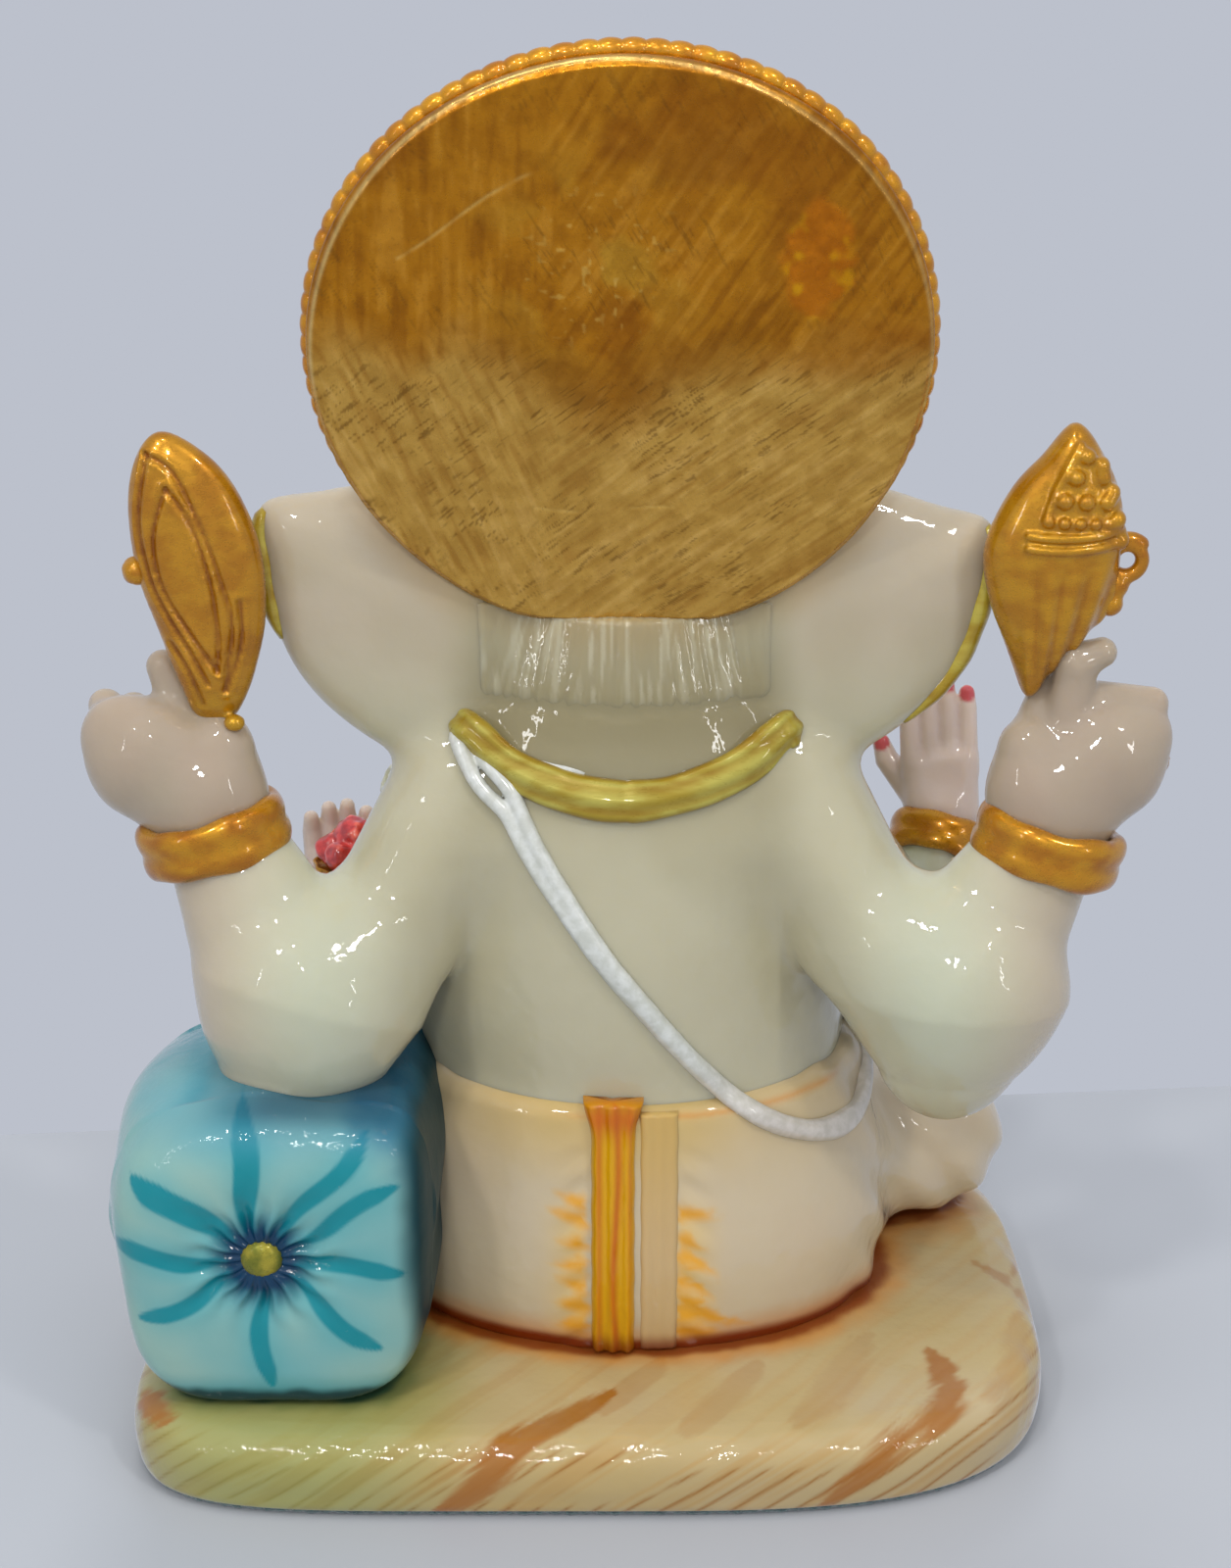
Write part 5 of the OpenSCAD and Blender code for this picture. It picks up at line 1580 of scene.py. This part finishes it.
def conch_lumps():
    """The shell, two bands across it, rows of beads on its cap and knobs down its edge."""
    lumps = [mirrored(pillow(conch_edge, 10.5, 5.2, 4.0, CONCH_C, power=2.2))]
    start, end = 54.2, 67.0
    for z in (135.4, 133.7):
        band = [on_conch(x, z - 0.11 * (x - start) + 0.012 * (x - start) ** 2, 0.1)
                for x in np.linspace(start, end, 14)]
        lumps.append(chain(band, 0.62, 0.3))
    # beads of the cap: first and last x, height, how many, radius
    for x0, x1, z, count, r in ((56.6, 65.0, 137.4, 5, 0.95), (58.6, 64.4, 140.2, 3, 1.3),
                                (60.0, 63.8, 143.3, 2, 1.25), (61.4, 61.4, 146.0, 1, 1.3)):
        for x in np.linspace(x0, x1, count):
            lumps.append(oval(on_conch(x, z - 0.06 * (x - x0)), (r, r, r * 0.9), 0.3))
    for x, z in ((66.2, 137.4), (65.2, 141), (63.6, 144.6), (67, 134.4)):
        lumps.append(oval(on_conch(x, z), (1.2, 1.6, 1.3), 0.8))
    edge = [on_conch(x, z) for x, z in ((56.4, 137.8), (57.4, 141), (58.8, 144), (60.6, 147.4))]
    return lumps + [chain(edge, 0.6, 0.4)]


def make_conch():
    mesh = model(conch_lumps(), 0.45, conch_relief)
    cut = ramp(-conch_relief(mesh[0]), 0.1, 0.45)
    paint = mixed(array(1.1, 1.1, 1.0), array(0.72, 0.5, 0.25), cut)
    build("conch_emblem", mesh, ORANGE_GOLD, paint, "emblem_conch", "conch_ribs")
    spiral = []
    for t in np.linspace(0, 1, 48):
        r, a = 1.9 + 0.8 * t, 2.6 * t * math.pi + 0.4
        spiral.append(at_figure(-68.4 + r * math.cos(a), 11.2 - 0.6 * t, 131.2 + r * math.sin(a)))
    scroll = [chain(spiral, np.linspace(0.85, 1.25, len(spiral)), 0.3),
              bulge((-66.6, 11, 125), (1.8, 1.8, 1.8), 0.5), bulge((-67.4, 11, 127.6), (1.6, 1.6, 1.8), 0.8)]
    gild("conch_lip", model(scroll, 0.4), ORANGE_GOLD, 97, "conch_scroll")


# ---------- bolster ----------

BOLSTER_R = (high("bolster")[2] - SEAT) / 2
BOLSTER = array(high("bolster")[0] - BOLSTER_R, 0, SEAT + BOLSTER_R)
BACK_Y, FRONT_Y = high("bolster")[1], low("bolster")[1]
BUTTON = middle("bolster_buttons") * array(1, 0, 1)
# painted strokes on an end: bearing in degrees as seen from outside, reach and half width in millimetres
STROKES = array([97, 21, 1.5], [52, 24, 1.1], [31, 22, 1.1], [-5, 19.5, 1.1], [-41, 21, 1.15], [-90, 20, 1.1],
                [-150, 20, 1.1], [178, 21, 1.2], [143, 21, 1.7])
# an end from its button to the side, as rows of depth (share of the length) and radius (share of the radius)
END_ROWS = array([0.060, 0.02], [0.05, 0.04], [0.036, 0.09], [0.016, 0.17], [0.004, 0.30], [0.0, 0.52],
                 [0.008, 0.68], [0.026, 0.80], [0.06, 0.90], [0.11, 0.955], [0.19, 0.988])
SHELL, STROKE, DEEP = srgb(144, 172, 158), srgb(0, 124, 134), srgb(0, 48, 78)


def turned_from(bearing, degrees):
    """Degrees from one bearing to another, from -180 to 180."""
    return (bearing - degrees + 180) % 360 - 180


def end_strokes(out, seen):
    """Painted marks, the haze round them and their dents, by distance from the button and bearing seen."""
    paintmark, halo, dent = 0 * out, 0 * out, 0 * out
    for degrees, reach, half_w in STROKES:
        off = turned_from(seen, degrees)
        lateral = out * np.radians(off) + 0.8 * np.sin(out * 0.3 + degrees)
        taper = np.sqrt(np.clip((reach + 0.8 - out) / 3.5, 0, 1))
        width = half_w * (0.5 + 0.75 * ramp(out, 3, reach * 0.6)) * taper
        stroke = ramp(np.abs(lateral), width + 0.3, width - 0.3)
        paintmark = np.maximum(paintmark, stroke * (out < reach + 1.2) * (np.abs(off) < 60))
        halo = np.maximum(halo, bump(lateral, 0, 3.6) * ramp(out, reach + 3, reach - 4) * (np.abs(off) < 60))
        dent = dent + bump(lateral, 0, 1.5) * ramp(out, 17, 6)
    return paintmark, halo, dent


def bolster_tone(section, out, fine, marks, side_stripes):
    """Colours of one section of the cushion, with painted shade along its foot, on the side that faces the
    hips and under the elbow, and how far the painted shade on the side of the hips reaches.
    """
    paintmark, halo = marks
    x, y, z = section.T
    top = BUTTON[2] + 20
    tone = mixed(SHELL, srgb(96, 160, 164), 0.9 * cloud(section, 9, 101))
    tone = mixed(tone, srgb(52, 150, 158), 0.5 * halo)
    tone = mixed(tone, srgb(40, 136, 150), 0.6 * ramp(out, 11, 4))
    tone = mixed(tone, STROKE, paintmark * (0.94 + 0.06 * cloud(section, 1.6, 102)))
    tone = mixed(tone, DEEP, ramp(out, 8.6, 4.4) * (0.6 + 0.4 * fine))
    tone = mixed(tone, DEEP, ramp(out, 5.4, 4.0))
    streaks = 0.7 + 0.3 * cloud(section * array(1, 0.3, 1), 2, 103)
    tone = mixed(tone, STROKE, 0.75 * side_stripes * streaks)
    # painted shade: towards the base the cushion darkens to turquoise, then to dark teal along its foot
    tone = mixed(tone, STROKE, 0.7 * ramp(z, SEAT + 7, SEAT + 2))
    tone = mixed(tone, srgb(60, 132, 152), 0.5 * ramp(z, top - 6, top))
    tone = mixed(tone, TEAL_SHADE, ramp(z + 1.2 * drift(section, 3, 108), SEAT + 4.4, SEAT + 2.6))
    corner = (BUTTON[0] - x + z - BUTTON[2]) * 0.75 + 5 * drift(section, 4, 107)
    tone = mixed(tone, srgb(0, 92, 122), 0.9 * ramp(corner, 22, 29) * (0.7 + 0.3 * cloud(section, 5, 106)))
    # painted shade: dark teal on the side that faces the hips, where the coat is dulled as well
    hips_side = ramp(x + 1.4 * drift(section, 6, 105), BUTTON[0] - 18.6, BUTTON[0] - 22.4)
    tone = mixed(tone, TEAL_SHADE, hips_side)
    # painted shade on top of the cushion where the elbow rests on it
    under_elbow = bump(z, SEAT + 2 * BOLSTER_R, 2.5) * ramp(x, BUTTON[0] + 12, BUTTON[0] - 2)
    return mixed(tone, DEEP, 0.7 * under_elbow * ramp(y, BACK_Y, BACK_Y - 6)), 0.9 * hips_side


def make_bolster():
    """Sections from the back end to the front end; end is 1 on the back end, -1 on the front, 0 between."""
    bearing = bearings(300)
    c, s = np.cos(bearing), np.sin(bearing)
    power = 3.1 + 2.6 * ramp(-c, 0.1, 0.6) * ramp(s, 0.1, 0.6)
    away_from_hips = ramp(c, -0.5, 0.2) * ramp(s, -0.4, 0.3)
    squarish = (np.abs(c) ** power + np.abs(s) ** power) ** (-1 / power)
    profile = smooth_path(END_ROWS, 8)
    rows = [(d, share, 1) for d, share in profile]
    rows += [(d, 0.99 + 0.012 * math.sin(math.pi * (d - 0.2) / 0.6), 0) for d in np.linspace(0.2, 0.8, 52)]
    rows += [(1 - d, share, -1) for d, share in profile[::-1]]
    sections, tints, dull = [], [], []
    for depth, share, end in rows:
        centre = BUTTON + (BOLSTER - BUTTON) * min(1.0, share / 0.75)
        swell = 0.085 * math.sin(math.pi * min(1.0, max(0.0, (depth - 0.05) / 0.9))) ** 1.5 * away_from_hips
        r = BOLSTER_R * share * (1 + (squarish - 1) * min(1.0, share * 1.1)) * (1 + swell)
        x, z = centre[0] + r * c, centre[2] + r * s
        out = np.hypot(x - BUTTON[0], z - BUTTON[2])
        facing = -1 if depth < 0.5 else 1
        seen = np.degrees(np.arctan2(z - BUTTON[2], facing * (x - BUTTON[0])))
        paintmark, halo, dent = end_strokes(out, seen)
        fine = 0.5 + 0.5 * np.cos(np.radians(seen) * 17 + 0.6 * np.sin(out))
        push = 0.8 * dent * ramp(share, 0.1, 0.3) + 0.85 * fine * bump(out, 6.5, 3.2)
        snug = 1 - 0.75 * ramp(-s, 0.25, 0.95) * (depth < 0.2)
        y = BACK_Y - depth * (BACK_Y - FRONT_Y) * snug - end * push
        wave = 0.35 * np.sin(bearing * 9 + depth * 3) * (end == 0) + 0.3 * np.sin(bearing * 5)
        x, z = x + wave * c * share, np.maximum(z + wave * s * share, SEAT + 0.05)
        section = np.stack([x, y, z], 1)
        stripes = 0 * out
        for degrees in (20, 62, 100, 140, 172, 205) if end == 0 else ():
            off = turned_from(np.degrees(bearing), degrees)
            stripes = np.maximum(stripes, bump(off, 4 * math.sin(depth * 7 + degrees), 6.0))
        tone, gap_shade = bolster_tone(section, out, fine, (paintmark, halo), stripes)
        sections.append(section)
        tints.append(tone)
        dull.append(gap_shade)
    tints = np.vstack([*tints, DEEP, DEEP])
    dull = np.concatenate([*dull, [0, 0]])
    build("round_cushion", capped(sections), AQUA, tints, "bolster", masks={"matte": dull})


def make_buttons():
    rows = [(0.3, 2.6), (1.4, 2.5), (2.4, 2.0), (2.95, 1.2), (3.0, 0.3), (2.8, -1.5), (0.3, -1.5)]
    points, faces = lathe(rows, 4, 40)
    x, y, z = (points * (1 + 0.03 * drift(points, 1.5, 104)[:, None])).T
    back = np.stack([x, z, y], 1) + BUTTON + array(0, BACK_Y - 2.6, 0)
    front = np.stack([x, -z, y], 1) + BUTTON + array(0, FRONT_Y + 2.6, 0)
    mesh = join((back, faces), (front, faces[:, ::-1]))
    build("cushion_buttons", mesh, OLIVE, all_one(mesh), "bolster_buttons")


# ---------- base and felt ----------

BASE_LOW, BASE_HIGH = low("base"), high("base")
BASE_C = (BASE_LOW + BASE_HIGH) / 2 * array(1, 1, 0)
HALF = (BASE_HIGH - BASE_LOW) / 2
AROUND = 700


def base_outline(count):
    """Cushion-shaped outline with squarer corners at the figure's left, its points evenly spaced."""
    a = np.linspace(0, TAU, 20001)
    c, s = np.cos(a), np.sin(a)
    power = np.where(c > 0, 0.34, np.where(s > 0, 0.6, 0.44))
    x = HALF[0] * np.sign(c) * np.abs(c) ** power
    y = HALF[1] * np.sign(s) * np.abs(s) ** power
    gone = np.concatenate([[0], np.cumsum(np.hypot(np.diff(x), np.diff(y)))])
    even = np.linspace(0, gone[-1], count, endpoint=False)
    line = np.stack([np.interp(even, gone, x), np.interp(even, gone, y)], 1)
    for _ in range(6):
        line = (np.roll(line, 1, 0) + line + np.roll(line, -1, 0)) / 3
    return line


outline = base_outline(AROUND)
outline_out = unit(np.roll(outline, -1, 0) - np.roll(outline, 1, 0))[:, ::-1] * array(1, -1)


def base_section(line, z):
    return np.column_stack([line, np.full(AROUND, z)]) + BASE_C


def base_mesh():
    tall = array((BASE_HIGH[2] - BASE_LOW[2]) / 12, 1)
    side_rows = smooth_path(array([0.0, 3.0], [0.0, 0.9], [0.8, 0.25], [2.6, 0.0], [5.0, -0.1], [7.4, 0.15],
                                  [9.2, 0.75], [10.6, 1.9], [11.6, 3.7], [12.0, 6.0]) * tall, 5)
    sections = [base_section(outline - outline_out * inset, BASE_LOW[2] + z) for z, inset in side_rows]
    ledge = outline - outline_out * 6.0
    sections += [base_section(ledge * share, BASE_HIGH[2]) for share in np.linspace(0.985, 0.02, 100)]
    points, faces = capped(sections)
    outward = unit(points - BASE_C - array(0, 0, SEAT - 7))
    x, y, z = points.T
    lumpy = 0.7 * drift(points, 9, 111) + 0.45 * np.sin(x * 0.55 + y * 0.4) * bump(z, SEAT - 0.8, 1.4)
    lumpy = lumpy * ramp(z, BASE_LOW[2] + 0.2, BASE_LOW[2] + 2.5)
    points = points + outward * (lumpy * 0.7 - 0.22)[:, None]
    points[:, 2] = np.clip(points[:, 2], BASE_LOW[2], SEAT + 0.15)
    return points, faces


def streak(points, s, line, width, ragged=0.5):
    """Closeness to a painted stroke along a line, broken at its edges and tapered at its ends."""
    line = smooth_path(line, 8)
    nearest, place = np.full(len(points), 99.0), np.zeros(len(points))
    for k, (a, b) in enumerate(zip(line[:-1], line[1:])):
        axis = b - a
        t = np.clip((points - a) @ axis / (axis @ axis), 0, 1)
        gap = length(points - a - t[:, None] * axis)
        place = np.where(gap < nearest, (k + t) / (len(line) - 1), place)
        nearest = np.minimum(nearest, gap)
    reach = width * (0.25 + 0.75 * np.sin(np.clip(place, 0.03, 0.97) * math.pi) ** 0.6)
    frayed = 3.0 * drift(np.stack([s * 1.2, 0 * s, cloud(points, 12, 122) * 6], 1), 1.3, 117, 3)
    return ramp(nearest + ragged * 1.6 * frayed, reach * 1.15, reach * 0.5)


# brush strokes as rows of points, with their half width and strength
THICK_STROKES = [([[25, 46, 1.0], [19, 46, 6], [13, 43, SEAT], [6, 38, SEAT], [1, 33, SEAT]], 3.0, 0.9),
                 ([[-28, 46, 1], [-36, 45, 7], [-42, 42, SEAT], [-47, 37, SEAT], [-49, 30, SEAT],
                   [-47, 22, SEAT]], 3.2, 0.85),
                 ([[-64, 2, SEAT], [-66, -9, SEAT], [-66.5, -20, SEAT]], 2.0, 0.5),
                 ([[2, 37, SEAT], [-3, 31, SEAT], [-7, 25, SEAT]], 2.6, 0.3),
                 ([[-10, 42, SEAT], [-16, 34, SEAT], [-21, 26, SEAT]], 3.0, 0.25),
                 ([[-26, 40, SEAT], [-33, 30, SEAT], [-38, 18, SEAT]], 3.4, 0.22),
                 ([[-54, 36, SEAT], [-60, 24, SEAT], [-63, 12, SEAT]], 3.0, 0.28),
                 ([[69, 30, 9], [67, 36, SEAT], [64, 40, SEAT]], 3.0, 0.85),
                 ([[30, -44, 3], [24, -42, SEAT], [12, -38, SEAT]], 2.4, 0.7),
                 ([[-30, -46, 4], [-38, -42, SEAT], [-50, -34, SEAT]], 2.6, 0.7),
                 ([[-70, 12, 3], [-67, 8, SEAT - 1], [-58, -2, SEAT]], 2.0, 0.5)]


def hips_gap(points):
    """Rough distance in plan from points to the foot of the hips."""
    cx, cy, w, d = at_height(hips_run, SEAT + 1)
    return (np.hypot((points[:, 0] - cx) / w, (points[:, 1] - cy) / d) - 1) * 30


def cushion_gap(points):
    """Distance in plan from points to the cushion's print on the base, a box with round corners."""
    corner = 6.0
    start = array(BOLSTER[0] - 0.72 * BOLSTER_R, FRONT_Y + 4) + corner
    end = array(BOLSTER[0] + 0.66 * BOLSTER_R, BACK_Y - 3.4) - corner
    beyond = np.maximum(start - points[:, :2], points[:, :2] - end)
    return length(np.maximum(beyond, 0)) + np.minimum(beyond.max(1), 0) - corner


def marble_paint(points):
    """Slanting stripes and thick brush strokes, then stains where the figure touches and a painted shadow
    round the cushion's foot.
    """
    x, y, z = points.T
    s = x - 0.85 * y + 1.35 * z + 5.0 * drift(points, 22, 112)
    line_noise = cloud(np.stack([s, 0 * s, cloud(points, 30, 113) * 4], 1), 2.3, 114, 3)
    broad = cloud(np.stack([s, 0 * s + 7, 0 * s], 1), 9, 115)
    at_side = ramp(z, SEAT - 0.4, SEAT - 2.5)
    paint = mixed(srgb(182, 165, 130), srgb(178, 155, 96), cloud(points, 18, 116))
    paint = mixed(paint, srgb(178, 134, 66), (0.18 + 0.3 * at_side) * ramp(line_noise, 0.5, 0.68))
    veins = ramp(line_noise, 0.62, 0.74) * ramp(broad, 0.4, 0.6)
    paint = mixed(paint, srgb(150, 92, 22), (0.1 + 0.4 * at_side) * veins)
    thin_lines = bump((s / 4.6) % 1.0, 0.5, 0.09)
    thin_lines = thin_lines * ramp(cloud(np.stack([s * 0.3, 0 * s, z], 1), 5, 121), 0.3, 0.5)
    paint = mixed(paint, srgb(160, 132, 76), 0.3 * at_side)
    paint = mixed(paint, srgb(142, 92, 16), 0.9 * at_side * thin_lines)
    paint = mixed(paint, srgb(126, 142, 70), 0.6 * ramp(np.hypot(x - 48, (y - 30) / 1.2), 34, 12))
    for line, width, strength in THICK_STROKES:
        share = min(1.0, 1.1 * strength) * streak(points, s, line, width)
        paint = mixed(paint, srgb(150, 90, 8), share * (0.8 + 0.2 * line_noise))
    touch = np.minimum(hips_gap(points), clay(legs, points))
    top_only = ramp(z, SEAT - 3, SEAT - 1)
    paint = mixed(paint, STAIN, 0.6 * top_only * ramp(touch + 3 * drift(points, 4, 118), 7, 1))
    paint = mixed(paint, RUST, 0.85 * top_only * ramp(touch + 1.2 * drift(points, 3, 123), 2.8, 0.9))
    # painted shadow: dark teal and softer green round the foot of the cushion
    gap = cushion_gap(points)
    paint = mixed(paint, TEAL_SHADE, 0.9 * top_only * ramp(gap + 1.2 * drift(points, 3, 119), 1.6, 0.2))
    return mixed(paint, srgb(60, 100, 50), 0.4 * top_only * ramp(gap + 2 * drift(points, 3, 120), 4.5, 1))


def make_base():
    mesh = base_mesh()
    build("marbled_base", mesh, MARBLE, marble_paint(mesh[0]), "base")


def make_felt():
    k = np.arange(AROUND)
    fuzz = (0.12 * np.sin(k * 1.7) + 0.1 * np.sin(k * 0.61))[:, None]
    foot = BASE_LOW[2]
    rows = ((foot + 0.15, 3.0), (foot + 0.1, 1.6), (foot - 0.3, 1.35), (0.12, 1.5), (0.0, 2.2), (0.0, 12))
    sections = [base_section(outline - outline_out * (inset + fuzz), z) for z, inset in rows]
    build("felt_sheet", inside_out(capped(sections)), FELT, None, "felt_pad")


# ---------- floor, lights and camera ----------

def make_table():
    """A plain table top that ends behind the figure's front, hidden from reflections."""
    n = Nodes("table_top")
    colour = array(0.4, 0.415, 0.44)
    tone = n.mix(n.math("MULTIPLY", n.noise(40, 2), 0.04), colour, colour * 0.8)
    mesh = bpy.data.meshes.new("table")
    corners = [(1.2, 0.024, 0), (-1.2, -0.176, 0), (-1.2, 1.2, 0), (1.2, 1.2, 0)]
    mesh.from_pydata(corners, [], [(0, 1, 2, 3)])
    mesh.materials.append(n.shade(tone, 0.5, Specular_IOR_Level=0.25))
    table = bpy.data.objects.new("table", mesh)
    bpy.context.scene.collection.objects.link(table)
    table.visible_glossy = False


def make_world():
    world = bpy.data.worlds.new("studio")
    bpy.context.scene.world = world
    world.use_nodes = True
    inputs = world.node_tree.nodes["Background"].inputs
    inputs["Color"].default_value = (0.53, 0.56, 0.635, 1)
    inputs["Strength"].default_value = 0.95


def softbox(name, at, width, power, colour=(1, 1, 1)):
    """A round lamp that faces the figure's middle."""
    data = bpy.data.lights.new(name, "AREA")
    data.shape, data.size, data.energy, data.color = "DISK", width, power, colour
    lamp = bpy.data.objects.new(name, data)
    bpy.context.scene.collection.objects.link(lamp)
    lamp.location = at
    x, y, z = unit(array(0, 0, 0.1) - array(*at))
    lamp.rotation_euler = (math.acos(-z), 0, math.atan2(y, x) - math.pi / 2)
    return lamp


def make_lights():
    warm = (1.0, 0.98, 0.95)
    softbox("key_left", (0.36, 0.5, 0.7), 0.08, 1.2, warm)
    softbox("key_right", (-0.4, 0.45, 0.75), 0.08, 1.2, warm)
    softbox("key_middle", (0.05, 0.75, 0.6), 0.07, 1.2)
    softbox("key_high", (0.12, 0.35, 0.85), 0.06, 0.8)
    softbox("strip_left", (0.75, 0.75, 0.45), 0.12, 0.6).scale = (0.35, 3.0, 1)
    softbox("strip_right", (-0.75, 0.8, 0.4), 0.12, 0.6).scale = (0.35, 3.0, 1)
    softbox("back_fill", (0.0, 1.2, 0.2), 0.9, 2.9).visible_glossy = False
    softbox("overhead", (0.0, 0.1, 1.0), 0.4, 2.4).visible_glossy = False
    softbox("front_fill", (0.1, -0.9, 0.9), 0.5, 4.5).visible_glossy = False


def make_camera():
    data = bpy.data.cameras.new("camera")
    camera = bpy.data.objects.new("camera", data)
    bpy.context.scene.collection.objects.link(camera)
    camera.location = (0, 0.3143, 0.2089)
    camera.rotation_euler = (math.radians(70), 0, math.pi)
    data.sensor_fit = "VERTICAL"
    data.angle = math.radians(38)
    data.clip_start, data.clip_end = 0.01, 10
    bpy.context.scene.camera = camera
    bpy.context.scene.view_settings.view_transform = "Standard"


PIECES = [make_body, make_hair, make_fists, make_open_hands, make_dhoti, make_feet, make_pleats, make_thread,
          make_necklace, make_rings, make_sweets, make_tusks, make_eyes, make_mark, make_plate, make_crown,
          make_ear_trims, make_leaf, make_conch, make_bolster, make_buttons, make_base, make_felt]
for make in PIECES + [make_table, make_world, make_lights, make_camera]:
    make()
